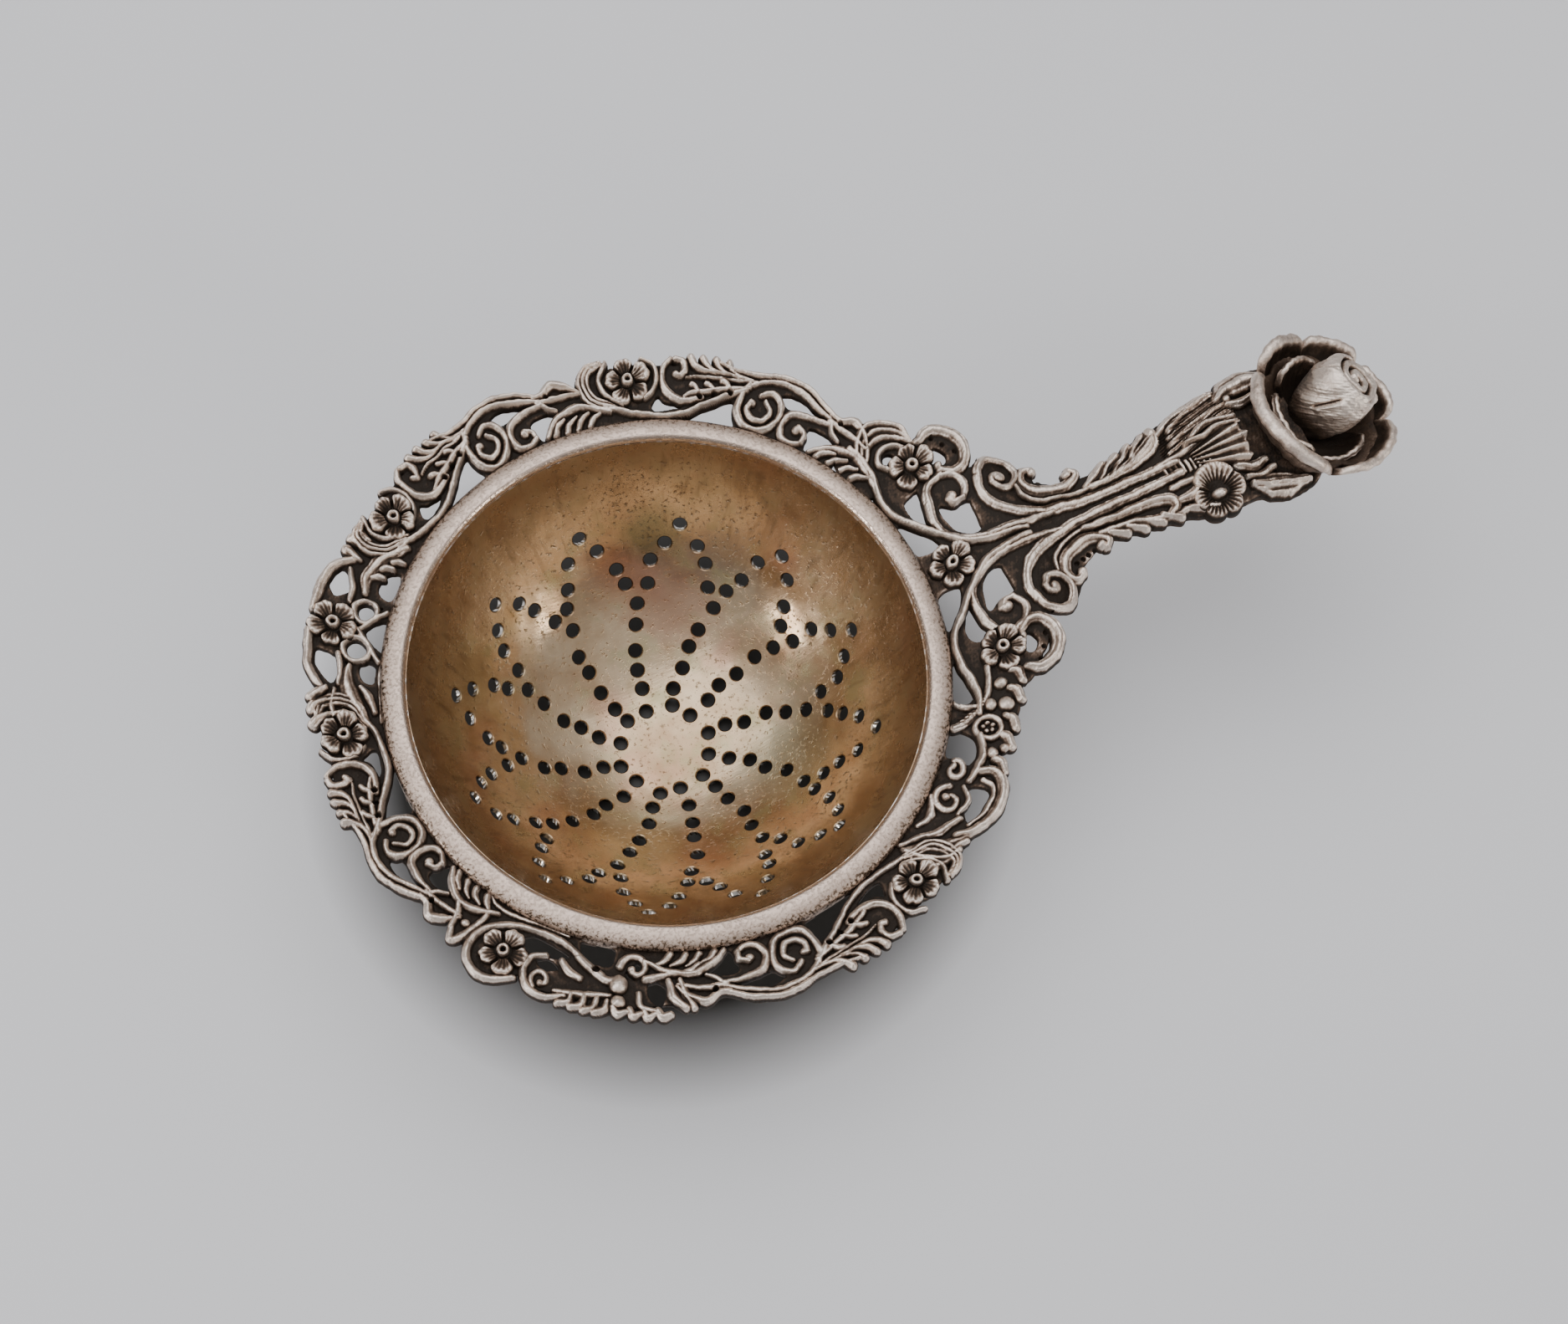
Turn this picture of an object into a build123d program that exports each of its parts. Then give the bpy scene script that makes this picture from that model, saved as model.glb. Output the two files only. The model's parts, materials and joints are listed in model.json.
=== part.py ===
from build123d import *
import math
import os

# Antique tea strainer: a pierced bowl in a plain band, a cast openwork border and a rose handle.
# The origin is the centre of the flat seat under the band, +Z is up and the handle points to +X.
# All sizes are in millimetres and degrees.

# Bowl and band
BOWL_INNER_R = 28.9  # inner sphere
BOWL_WALL = 0.7
BOWL_CENTRE_Z = 6.0
BOWL_TOP = 1.2
COLLAR_R = 29.2  # straight collar around the bowl under the band, which a cup ring fits over
COLLAR_DROP = 1.5  # height of the collar below the seat
HOLE_R = 0.8
PETALS = 12
BAND_R = 31.4  # outside of the band, where the border begins
BAND_BORE = 29.25
BAND_TOP = 2.15
LIP_R = 28.6

# Border: a dished casting, rising outward
SLOPE = 0.28
WEB = 0.75  # thickness of the ground of the casting
RIDGE = 1.6  # thickness up to the ridge tops
ROOTED = 0.3  # height where the ridges start inside the ground
LINE = 0.36  # half the width of a ridge
SCROLL_CORE = 0.52  # radius where a scroll stops
SCROLL_PITCH = 0.88  # distance between the turns of a scroll
SEAM_GAP = 0.01

# Florets
FLORET_R = 2.7
FLORET_T = 0.8
PETAL_COUNT = 5
SEAT_LIFT = 0.35  # height of a floret's seat over the ground of the casting

# Handle
NECK_X = 40.2  # where the handle casting meets its root
LEAF_X = 61.0  # where the leaf bundle begins
STEM_END = 77.0
HANDLE_HALF = 10.1

# Rose: a cup of petals, tilted towards the tip, with a bud that leans further out of it
ROSE_CENTRE = (80.2, -0.2, 6.8)
ROSE_TILT = 16
ROSE_R = 8.9
ROSE_FLOOR = -3.9  # flat back of the petals on the rose axis
ROSE_RIM = 1.7
INNER_R = 6.9
INNER_RIM = 2.4
PETAL_T = 0.9
SEPAL_REACH = 7.4
BUD_FOOT = (79.2, 0.4, 4.0)
BUD_TILT = 37
BUD_R = 4.0
BUD_END = 8.5  # flat end of the bud, which carries its spiral


def polar(angle, radius):
    """Plan point at an angle from the handle axis and a distance from the bowl axis."""
    turn = math.radians(angle)
    return (radius * math.cos(turn), radius * math.sin(turn))


def ground(radius):
    """Height of the underside of the border at a radius."""
    return SLOPE * (radius - BAND_R)


def stroke(points, half=LINE):
    """A band of constant width that follows a smooth line through plan points."""
    path = Spline(*points) if len(points) > 2 else Line(*points)
    steps = 4 * len(points)
    left, right = [], []
    for i in range(steps + 1):
        place = path @ (i / steps)
        run = path % (i / steps)
        side = Vector(-run.Y, run.X) * half
        left.append(place + side)
        right.append(place - side)
    nose = path @ 1 + (path % 1) * half
    tail = path @ 0 - (path % 0) * half
    edges = [
        Spline(*left),
        ThreePointArc(left[-1], nose, right[-1]),
        Spline(*reversed(right)),
        ThreePointArc(right[0], tail, left[0]),
    ]
    return make_face(edges)


def spiral(centre, size, start, way, turns=1.35):
    """Plan points of a scroll that winds inward from its outside radius without closing on itself."""
    outside = size - LINE
    turns = min(turns, (outside - SCROLL_CORE) / SCROLL_PITCH)
    count = max(6, int(12 * turns))
    points = []
    for i in range(count + 1):
        share = i / count
        reach = outside + (SCROLL_CORE - outside) * share
        turn = math.radians(start + way * 360 * turns * share)
        points.append((centre[0] + reach * math.cos(turn), centre[1] + reach * math.sin(turn)))
    return points


def blob(centre, radius):
    """A round boss in plan."""
    return Pos(centre[0], centre[1]) * Circle(radius)


def patch(points):
    """A closed smooth shape through plan points."""
    return make_face(Spline(*points, periodic=True))


def line(*places):
    """Plan points from angle and radius pairs."""
    return [polar(*place) for place in places]


# ---- Border drawing: each motif returns ridges, bosses and openings in plan ----


def garland(start, way, stretch=1.0):
    """Floret stem, C-scroll, acanthus, volute, S-stem and knot, running one way round the bowl."""

    def run(*places):
        return [polar(start + way * step * stretch, radius) for step, radius in places]

    ridges = [
        stroke(run((-6, 33.4), (-2, 32.3), (3, 32), (9, 32.4), (14, 33.5), (19, 35.1), (24, 36.9)), 0.32),
        stroke(run((-4.6, 33.4), (-7.8, 35.2), (-8.2, 36.8), (-6, 37.9)), 0.5),
        stroke(run((5.8, 37.4), (6.1, 35.6), (8, 34.2), (11, 34), (14, 34.9))),
        stroke(run((12, 36.6), (17, 36.9), (22, 37.3), (28, 38), (33, 37.6), (38, 36.2)), 0.45),
        stroke(run((38, 35.8), (34.5, 35.1), (31.6, 33.9), (31.4, 32.5), (33, 31.9)), 0.4),
        stroke(run((39.5, 32), (42, 33.1), (46, 33.8), (51, 33.3)), 0.5),
    ]
    outward = start + way * 25.5 * stretch
    volute = polar(outward, 34.1)
    ridges.append(stroke(spiral(volute, 2.5, outward - way * 40, -way)))
    bosses = [
        blob(polar(start + way * step * stretch, radius), size)
        for step, radius, size in (
            (8.7, 36.6, 0.6),
            (12.6, 37.5, 0.8),
            (15.4, 37.9, 0.8),
            (18.2, 37.6, 0.75),
            (16.4, 35.1, 0.6),
            (32.7, 32.8, 0.5),
            (39.8, 36.9, 0.95),
            (41.4, 35.9, 0.9),
            (43.2, 32.3, 0.7),
            (46.2, 32.7, 0.7),
        )
    ]
    openings = [
        patch(run((5.2, 33.4), (8, 33.3), (10.5, 32.9), (7.5, 32.9), (5, 32.8))),
        patch(run((14, 32.1), (17, 33.2), (20.4, 34.4), (20.8, 33), (20, 31.9), (17, 31.9))),
        patch(run((30.6, 36.8), (33.5, 36.8), (36.6, 36), (34.2, 35.8), (31.2, 35.2))),
        patch(run((34.4, 32.4), (34.6, 33.8), (37, 34.2), (38.6, 33.4), (37.6, 32.2), (36, 32))),
    ]
    return ridges, bosses, openings


def crest():
    """Symmetric centre length: a floret over two round eyes, with leaves on both sides."""
    middle = 149.5
    ridges, bosses = [], []
    openings = [patch(line((152, 31.9), (149.5, 33.2), (147, 31.9), (149.5, 31.8)))]
    for side in (-1, 1):

        def run(*places):
            return [polar(middle + side * step, radius) for step, radius in places]

        eye = polar(middle + side * 3.8, 34)
        openings.append(blob(eye, 0.95))
        ridges.append(stroke([eye_point(eye, 1.5, 30 * k) for k in range(11)], 0.3))
        ridges.append(stroke(run((1.5, 39.4), (5.5, 39.2), (9.5, 38.5), (13.5, 37.2))))
        ridges.append(stroke(run((6.5, 34.6), (10, 35), (13.5, 34.2), (17, 33))))
        ridges.append(stroke(run((6.2, 32), (10, 31.9), (15, 32.2))))
        openings.append(patch(run((5.6, 37.6), (8, 38), (10, 36.9), (7.6, 36.2), (5.6, 36.4))))
        openings.append(patch(run((6.4, 32.7), (8.5, 33.4), (11, 33), (9, 32.4))))
        for step, radius in ((12, 37.4), (14.5, 37.5), (12.2, 33.6), (14.8, 36.1)):
            bosses.append(blob(polar(middle + side * step, radius), 0.7))
    return ridges, bosses, openings


def eye_point(centre, radius, angle):
    """A point on a small circle in plan."""
    turn = math.radians(angle)
    return (centre[0] + radius * math.cos(turn), centre[1] + radius * math.sin(turn))


def loop_length():
    """Length with a floret inside one large loop, two small volutes and a bulb."""
    loop = line((222, 38.2), (218, 39.3), (214.6, 38.4), (213.3, 36.4), (215, 34))
    loop += line((220, 32.5), (226, 32.2), (231, 33.4), (236, 34.8))
    ridges = [
        stroke(loop, 0.45),
        stroke(line((211.8, 34.8), (211.6, 36.4), (210.3, 37.7)), 0.45),
        stroke(line((229, 38.2), (226, 38.5), (223.9, 37.4), (223.4, 35.9)), 0.4),
        stroke(spiral(polar(226.3, 36.9), 1.45, 70, 1, 0.9)),
        stroke(line((229, 37), (234, 37.7), (238, 38.4), (243, 38.4), (248, 37.6)), 0.5),
        stroke(spiral(polar(241.6, 33.4), 2.0, 150, -1, 0.95)),
        stroke(line((243.6, 34.2), (248, 33.6), (251, 33.2), (254, 32)), 0.4),
        stroke(line((247.6, 35), (249, 36.6), (251.5, 37.2), (252.5, 35.5)), 0.4),
    ]
    bosses = [blob(polar(angle, radius), size) for angle, radius, size in (
        (239.2, 35.7, 1.0), (239.2, 37.7, 0.8), (232.5, 38.3, 0.8), (235.2, 38.5, 0.8),
        (243, 37.8, 0.8), (230.5, 35, 0.8), (252, 31.9, 0.8), (216.5, 31.9, 0.45),
    )]
    openings = [
        patch(line((220.8, 34), (224, 34.4), (229, 33.9), (226, 33.2), (222.5, 33.2))),
        patch(line((227.9, 35.4), (226.5, 35.9), (225, 35.5), (226.3, 34.9))),
        patch(line((231.5, 32.1), (233.5, 33.6), (236.4, 33.6), (237.2, 32.1), (234, 31.9))),
        patch(line((244.2, 35.4), (245.2, 37.2), (246.5, 36.8), (246.6, 35.6))),
        patch(line((244.6, 32.2), (246, 33.1), (249, 32.6), (248.4, 31.9))),
    ]
    return ridges, bosses, openings


def fan_length():
    """Length with a fan of curved ridges, an outer leaf, a bead ring and beads."""
    ridges = [
        stroke(line((308, 36.6), (305, 35), (303, 33), (301, 31.9)), 0.45),
        stroke(line((306, 37.8), (303.2, 36), (301.6, 33.8), (299, 32.3)), 0.45),
        stroke(line((318.6, 36.6), (317.4, 38.2), (314, 38.7), (310, 38.1), (306.6, 36.6)), 0.5),
        stroke(spiral(polar(311.4, 33.7), 1.95, 60, -1, 1.2)),
        stroke(spiral(polar(317.8, 33.3), 1.45, 90, 1, 0.9)),
        stroke([eye_point(polar(327, 35.6), 1.35, 30 * k) for k in range(12)], 0.35),
        stroke(line((320, 36.8), (322, 37.6), (327, 38.2), (333, 38.9)), 0.45),
        stroke(line((334.4, 34.6), (331, 34.5), (328.5, 33.4), (327, 32)), 0.5),
        stroke(line((320, 34.9), (322.5, 35.3), (325, 34.6)), 0.4),
    ]
    bosses = [blob(polar(angle, radius), size) for angle, radius, size in (
        (327, 35.6, 0.6), (322.4, 36.2, 0.8), (331.6, 36.3, 1.0), (331.8, 38, 0.9), (327.4, 38, 0.8),
    )]
    openings = [
        patch(line((315.6, 37.1), (312.5, 37.4), (309.5, 36.6), (311.5, 36.2), (315.2, 36))),
        patch(line((325.2, 32.4), (325.2, 34), (322.8, 34.3), (320.4, 33.6), (320.4, 32.2), (323, 31.9))),
    ]
    return ridges, bosses, openings


def root():
    """Root of the handle: two arms that spring from the band and meet on the axis."""
    ridges, openings = [], []
    for side in (-1, 1):

        def run(*places):
            return [polar(side * step, radius) for step, radius in places]

        ridges.append(stroke(run((30, 34.6), (24.5, 33.8), (18, 32.1), (12.5, 32.6), (8, 34.1), (4.2, 36))))
        ridges.append(stroke(run((14.6, 38.6), (13.8, 36.8), (9, 35.2), (5, 36), (2, 38), (0.9, 40)), 0.42))
        ridges.append(stroke(run((1.2, 40.2), (5, 40.3), (9.4, 40.3))))
        ridges.append(stroke(spiral(polar(side * 11.8, 38.7), 1.6, -side * 160, -side, 0.9)))
        openings.append(patch(run((8.8, 39.5), (5, 39.7), (3.4, 38.6), (5.2, 37), (8.5, 36.7), (8.6, 38))))
        openings.append(patch(run((15.2, 35.6), (15, 34.2), (12.5, 34), (9.8, 34.5), (12.5, 35.2))))
        openings.append(patch(run((12, 32), (8.6, 33.3), (5.2, 33.9), (4.9, 32.2), (8.5, 31.8))))
        openings.append(patch(run((27.6, 32), (27, 33.2), (24.2, 33), (21.4, 31.9))))
        ridges.append(stroke(run((20.6, 40.3), (20, 42), (17, 42.7), (14.4, 41.9), (14, 40.5)), 0.55))
        openings.append(patch(run((19, 40.4), (17.5, 40.8), (16.4, 40), (17.8, 39.6))))
        ridges.append(stroke(run((26.6, 34.8), (28.8, 36.4), (26, 38.7), (22.5, 39.4)), 0.55))
    bosses = [blob(polar(29.5, 37), 0.9), blob(polar(30, 32.6), 0.8)]
    return ridges, bosses, openings


# ---- Bowl and band ----


def bowl_holes():
    """Plan places of the holes: a twelve-petal star whose rays swirl to the middle."""
    places = []
    pitch = 360 / PETALS
    for k in range(PETALS):
        tip = 3.2 + pitch * k
        places.append((tip, 23.8))
        for side in (-1, 1):
            for step, radius in ((5, 22.3), (8.8, 20.6), (11.4, 18.8)):
                places.append((tip + side * step, radius))
        for i in range(6):
            places.append((tip + 15 + 12 * (i / 5) ** 0.8, 16.9 - 2.3 * i))
    # pierced by hand, so each hole is a little off its mark
    return [
        (angle + 12 * math.sin(2.7 * n) / radius, radius + 0.2 * math.sin(4.1 * n))
        for n, (angle, radius) in enumerate(places)
    ]


def strainer_bowl():
    """A thin spherical bowl with a short collar, open at the top and pierced square to its wall."""
    centre = Pos(0, 0, BOWL_CENTRE_Z)
    on_top = (Align.CENTER, Align.CENTER, Align.MIN)
    collar = Pos(0, 0, -COLLAR_DROP) * Cylinder(COLLAR_R, COLLAR_DROP, align=on_top)
    outside = centre * Sphere(BOWL_INNER_R + BOWL_WALL) + collar
    shell = outside - centre * Sphere(BOWL_INNER_R)
    cap = Pos(0, 0, BOWL_TOP) * Cylinder(50, 100, align=on_top)
    bowl = shell - cap
    drill = Cylinder(HOLE_R, 6 * BOWL_WALL)
    drills = []
    for angle, radius in bowl_holes():
        lean = math.degrees(math.asin(radius / BOWL_INNER_R))
        aim = centre * Rot(0, 0, angle) * Rot(0, -lean, 0)
        drills.append(aim * Pos(0, 0, -BOWL_INNER_R) * drill)
    return bowl - drills


def rim_band():
    """Convex band with a flat seat underneath and a lip over the bowl's edge."""
    profile = make_face(
        [
            Line((BAND_BORE, 0), (BAND_R, 0)),
            Line((BAND_R, 0), (BAND_R, 1.2)),
            Spline((BAND_R, 1.2), (30.6, 1.95), (29.7, BAND_TOP), (LIP_R, 1.85)),
            Line((LIP_R, 1.85), (LIP_R - 0.05, BOWL_TOP)),
            Line((LIP_R - 0.05, BOWL_TOP), (BAND_BORE, BOWL_TOP)),
            Line((BAND_BORE, BOWL_TOP), (BAND_BORE, 0)),
        ]
    )
    return revolve(Plane.XZ * profile, Axis.Z, 360)


# ---- Border castings ----


def dish(low, high, inner=BAND_R, outer=47.0):
    """A conical sheet, from one height to another over the underside of the border."""
    corners = [
        (inner, ground(inner) + low),
        (outer, ground(outer) + low),
        (outer, ground(outer) + high),
        (inner, ground(inner) + high),
    ]
    return revolve(Plane.XZ * make_face(Polyline(*corners, close=True)), Axis.Z, 360)


def tall(faces):
    """Plan faces joined and drawn up through the whole height of the border."""
    whole = Sketch() + faces
    return Pos(0, 0, -2) * extrude(whole, 12)


def joined(*shapes):
    """One part from shapes that touch or overlap."""
    whole = Part() + [solid for shape in shapes for solid in shape.solids()]
    return Part(whole.solids())


def wedge(first, last, reach=60.0):
    """A sector of plan between two angles, drawn up through the border."""
    middle = (first + last) / 2
    corners = [(0, 0), polar(first, reach), polar(middle, reach * 1.3), polar(last, reach)]
    return Pos(0, 0, -3) * extrude(make_face(Polyline(*corners, close=True)), 14)


def arc_band(first, last, inner, outer):
    """A sector of an annulus in plan."""
    middle = (first + last) / 2
    return make_face(
        [
            Line(polar(first, inner), polar(first, outer)),
            ThreePointArc(polar(first, outer), polar(middle, outer), polar(last, outer)),
            Line(polar(last, outer), polar(last, inner)),
            ThreePointArc(polar(last, inner), polar(middle, inner), polar(first, inner)),
        ]
    )


def casting(first, last, drawing, ground_shapes, seats, trim=None):
    """One length of the border: pierced ground, ridges on it and flat seats for its florets."""
    ridges, bosses, openings = drawing
    clip = wedge(first + SEAM_GAP, last - SEAM_GAP)
    body = (tall(ground_shapes) - tall(openings)) & dish(0, WEB)
    body = joined(body, tall(ridges + bosses) & dish(ROOTED, RIDGE))
    for angle, radius in seats:
        place = polar(angle, radius)
        seat = seat_height(radius)
        low = ground(radius - FLORET_R) + 0.1
        body = body - Pos(*place, seat + 3) * Cylinder(FLORET_R + 0.35, 6)
        body = joined(body, Pos(*place, (seat + low) / 2) * Cylinder(FLORET_R - 0.5, seat - low))
    body = body & clip
    if trim is not None:
        body = body - trim
    return Part([max(body.solids(), key=lambda solid: solid.volume)])


def seat_height(radius):
    """Top of a floret's seat."""
    return ground(radius) + WEB + SEAT_LIFT


def floret(angle, radius):
    """Five rounded petals round a tubular boss."""
    petals = [
        Rot(0, 0, angle + 360 / PETAL_COUNT * k) * Pos(FLORET_R * 0.6, 0) * Circle(FLORET_R * 0.42)
        for k in range(PETAL_COUNT)
    ]
    flower = extrude(Sketch() + petals + Circle(FLORET_R * 0.5), FLORET_T)
    flower += Pos(0, 0, FLORET_T + 0.15) * (Cylinder(0.75, 0.5) - Cylinder(0.35, 0.5))
    return Pos(*polar(angle, radius), seat_height(radius)) * flower


# ---- Handle ----


def side_band(tops, bottoms):
    """A block in side view between an upper and a lower line, as wide as the handle."""
    outline = make_face(
        [
            Spline(*tops),
            Line(tops[-1], bottoms[-1]),
            Spline(*reversed(bottoms)),
            Line(bottoms[0], tops[0]),
        ]
    )
    return extrude(Plane.XZ * outline, HANDLE_HALF + 6, both=True)


RIDGE_LINE = [(NECK_X, 3.65), (46, 3.75), (52, 4.1), (58, 5.2), (64, 6.3), (STEM_END, 6.8)]
GROUND_LINE = [(x, z - 0.85) for x, z in RIDGE_LINE]
UNDER_LINE = [(NECK_X, 1.95), (46, 1.95), (52, 2.1), (58, 2.6), (64, 3.2), (STEM_END, 3.6)]
ROOTED_LINE = [(x, z + ROOTED) for x, z in UNDER_LINE]


def handle_scrolls():
    """Twin stems on the axis, opening into a volute and two curls on each side."""
    ridges, floor = [], []
    for side in (-1, 1):

        def run(*places):
            return [(x, side * y) for x, y in places]

        ridges.append(stroke(run((40.9, 6.6), (41.6, 4.2), (44, 2), (48, 0.8), (60.4, 0.45)), 0.42))
        ridges.append(stroke(spiral((43.4, side * 7.5), 2.5, 180, -side, 1.3)))
        ridges.append(stroke(run((45.6, 5.6), (47.5, 3.1), (51, 2.2), (55, 2.4), (60.4, 3.6)), 0.42))
        ridges.append(stroke(run((47.6, 6.9), (46.6, 7.2), (46.2, 6.2), (47.2, 4.7), (49.6, 4.1), (51, 4.6))))
        ridges.append(stroke(run((51.6, 3.6), (54, 3.4), (57, 3.8), (60.4, 5)), 0.45))
        floor.append(patch(run((41, 8), (44, 9.4), (46.6, 7.2), (48, 4.6), (53, 3.6), (60.8, 5), (60.8, 0))))
        floor.append(make_face(Polyline(*run((40, -0.1), (62, -0.1), (62, 3), (40, 5)), close=True)))
    low = tall(floor) & side_band(GROUND_LINE, UNDER_LINE)
    body = joined(low, tall(ridges) & side_band(RIDGE_LINE, ROOTED_LINE))
    length = LEAF_X - NECK_X
    span = Box(length, 2 * HANDLE_HALF, 20, align=(Align.MIN, Align.CENTER, Align.CENTER))
    return body & Pos(NECK_X, 0, 4) * span


def handle_leaves():
    """Leaf bundle that carries the flower, the shell and the rose."""
    upper = patch([(60, 1), (60, 4.4), (64, 4.8), (70, 6.4), (75, 7), (78, 5), (78, 1)])
    lower = patch([(60, -1), (60, -5), (64, -5.6), (70, -6), (75, -7), (78, -5), (78, -1)])
    core = make_face(Polyline((60, -4), (78, -5), (78, 5), (60, 4), close=True))
    ridge = stroke([(61.6, 2.6), (65, 3.6), (70.6, 5.2)], 0.5)
    body = tall([upper, lower, core]) & side_band(GROUND_LINE, UNDER_LINE)
    body = joined(body, tall([ridge]) & side_band(RIDGE_LINE, ROOTED_LINE))
    length = STEM_END - LEAF_X
    span = Box(length, 2 * HANDLE_HALF, 20, align=(Align.MIN, Align.CENTER, Align.CENTER))
    pads = Pos(65, -4.6, 6.9) * Cylinder(3.2, 3) + Pos(67.8, 0.5, 7.3) * Cylinder(2.9, 3)
    back = pillar(SEPAL_REACH + 0.1, ROSE_FLOOR - PETAL_T, ROSE_FLOOR)
    room = in_rose((Sphere(ROSE_R) & pillar(ROSE_R, ROSE_FLOOR, ROSE_R)) + back)
    leaves = ((body & Pos(LEAF_X, 0, 4) * span) - pads) - room
    return Part([max(leaves.solids(), key=lambda solid: solid.volume)])


def handle_poppy():
    """Small open flower: five petals and a boss, on the side of the leaf bundle."""
    petals = [Rot(0, 0, 72 * k + 20) * Pos(1.75, 0) * Circle(1.3) for k in range(5)]
    flower = extrude(Sketch() + petals + Circle(1.4), 1.0)
    flower += Pos(0, 0, 1.2) * Cylinder(0.9, 0.8)
    return Pos(65, -4.6, 5.4) * flower


def handle_shell():
    """Fluted shell leaf, a fan of rounded ribs."""
    ribs = [
        Rot(0, 0, 24 * k) * Pos(1.4, 0, 0.55) * Rot(0, 90, 0) * Cylinder(0.55, 2.6)
        for k in range(-2, 3)
    ]
    fan = Part() + ribs
    floor = Pos(0, 0, 0.25) * Cylinder(1.6, 0.5)
    keep = Pos(1.2, 0, 1) * Box(6, 6, 2)
    return Pos(66.4, 0.5, 5.8) * ((fan + floor) & keep)


def in_rose(shape):
    """Places a piece of the rose on its tilted axis."""
    return Pos(*ROSE_CENTRE) * Rot(0, ROSE_TILT, 0) * shape


def pillar(radius, low, high):
    """A cylinder between two heights on its axis."""
    return Pos(0, 0, low) * Cylinder(radius, high - low, align=(Align.CENTER, Align.CENTER, Align.MIN))


def cup(outer, floor, rim):
    """A spherical cup with a flat floor, between two heights on the rose axis."""
    whole = Sphere(outer) & pillar(outer, floor, rim)
    return whole - (Sphere(outer - PETAL_T) & pillar(outer, floor + PETAL_T, outer))


def petal_gaps(angles, radius, rim):
    """Notches between petals, cut down into the rim of a cup."""
    notch = Rot(0, 90, 0) * Cone(0.1, 2.2, radius)
    return [Rot(0, 0, angle) * Pos(radius / 2, 0, rim + 0.7) * notch for angle in angles]


def rose_sepals():
    """Back of the rose, a five-lobed plate under the petals."""
    lobes = [Rot(0, 0, 36 + 72 * k) * Pos(SEPAL_REACH - 3, 0) * Circle(3) for k in range(5)]
    plate = extrude(Sketch() + lobes + Circle(SEPAL_REACH - 3), PETAL_T)
    return in_rose(Pos(0, 0, ROSE_FLOOR - PETAL_T) * plate)


def rose_outer_petals():
    """Broad petals that stand round the heart."""
    petals = cup(ROSE_R, ROSE_FLOOR, ROSE_RIM)
    return in_rose(petals - petal_gaps((-106, -20, 29, 78, 125), ROSE_R, ROSE_RIM))


def rose_inner_petals():
    """Inner ring of petals that cups the bud."""
    petals = cup(INNER_R, ROSE_FLOOR + PETAL_T, INNER_RIM)
    return in_rose(petals - petal_gaps((-30, 60, 130, 250), INNER_R, INNER_RIM))


def rose_bud():
    """Wound heart of the rose, a leaning egg with a spiral groove in its flat end."""
    egg = Pos(0, 0, BUD_END - BUD_R) * Sphere(BUD_R) + pillar(BUD_R - 1, 0, BUD_END - BUD_R)
    egg = egg + pillar(BUD_R - 1.2, 4, BUD_END)
    groove = extrude(stroke(spiral((0, 0), BUD_R - 1.2, 0, 1, 1.4), 0.22), 2)
    bud = Pos(*BUD_FOOT) * Rot(0, BUD_TILT, 0) * (egg - Pos(0, 0, BUD_END - 0.6) * groove)
    return bud & in_rose(pillar(INNER_R, ROSE_FLOOR + 2 * PETAL_T, 14))


# ---- The whole strainer ----

LENGTHS = {
    "border_far_right": (31.5, 84, garland(75, -1), [(75, 35.8)]),
    "border_far": (84, 132.5, garland(126.8, -1, 0.9), [(126.8, 35.6)]),
    "border_crest": (132.5, 164.5, crest(), [(149.5, 36.9)]),
    "border_left": (164.5, 208.5, garland(170, 1, 0.84), [(170, 35.6)]),
    "border_near_left": (208.5, 252.5, loop_length(), [(219, 36.1)]),
    "border_near": (252.5, 303, garland(295, -1, 0.98), [(295, 35.6)]),
    "border_near_right": (303, 335, fan_length(), []),
}
ROOT_SEATS = [(-18.2, 37.2), (19.6, 37.3), (0, 34.4)]
FLORETS = {
    "floret_far_right": (75, 35.8),
    "floret_far": (126.8, 35.6),
    "floret_crest": (149.5, 36.9),
    "floret_left": (170, 35.6),
    "floret_near_left": (219, 36.1),
    "floret_near": (295, 35.6),
    "floret_root_near": ROOT_SEATS[0],
    "floret_root_far": ROOT_SEATS[1],
    "floret_axis": ROOT_SEATS[2],
}


def nodes():
    """Every piece by name."""
    pieces = {"strainer_bowl": strainer_bowl(), "rim_band": rim_band()}
    for name, (first, last, drawing, seats) in LENGTHS.items():
        floor = [arc_band(first, last, BAND_R, 37.4)]
        pieces[name] = casting(first, last, drawing, floor, seats)
    start = Align.MIN, Align.CENTER, Align.CENTER
    neck = Pos(NECK_X, 0, 4) * Box(20, 2 * HANDLE_HALF, 24, align=start)
    shoulders = line((24, 38), (20.5, 41.5), (17, 42.6), (12, 42), (0, 41.5))
    shoulders += line((-12, 42), (-17, 42.6), (-20.5, 41.5), (-24, 38), (0, 34))
    root_floor = [arc_band(-25, 31.5, BAND_R, 38.6), patch(shoulders)]
    pieces["handle_root"] = casting(-25, 31.5, root(), root_floor, ROOT_SEATS, neck)
    for name, place in FLORETS.items():
        pieces[name] = floret(*place)
    pieces["handle_scrolls"] = handle_scrolls()
    pieces["handle_leaves"] = handle_leaves()
    pieces["handle_poppy"] = handle_poppy()
    pieces["handle_shell"] = handle_shell()
    pieces["rose_sepals"] = rose_sepals()
    pieces["rose_outer_petals"] = rose_outer_petals()
    pieces["rose_inner_petals"] = rose_inner_petals()
    pieces["rose_bud"] = rose_bud()
    return pieces


os.makedirs("parts", exist_ok=True)
for name, piece in nodes().items():
    export_step(piece, f"parts/{name}.step")
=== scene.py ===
import json
import math

import bpy
import numpy as np
from mathutils import Matrix, Vector, geometry


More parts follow.
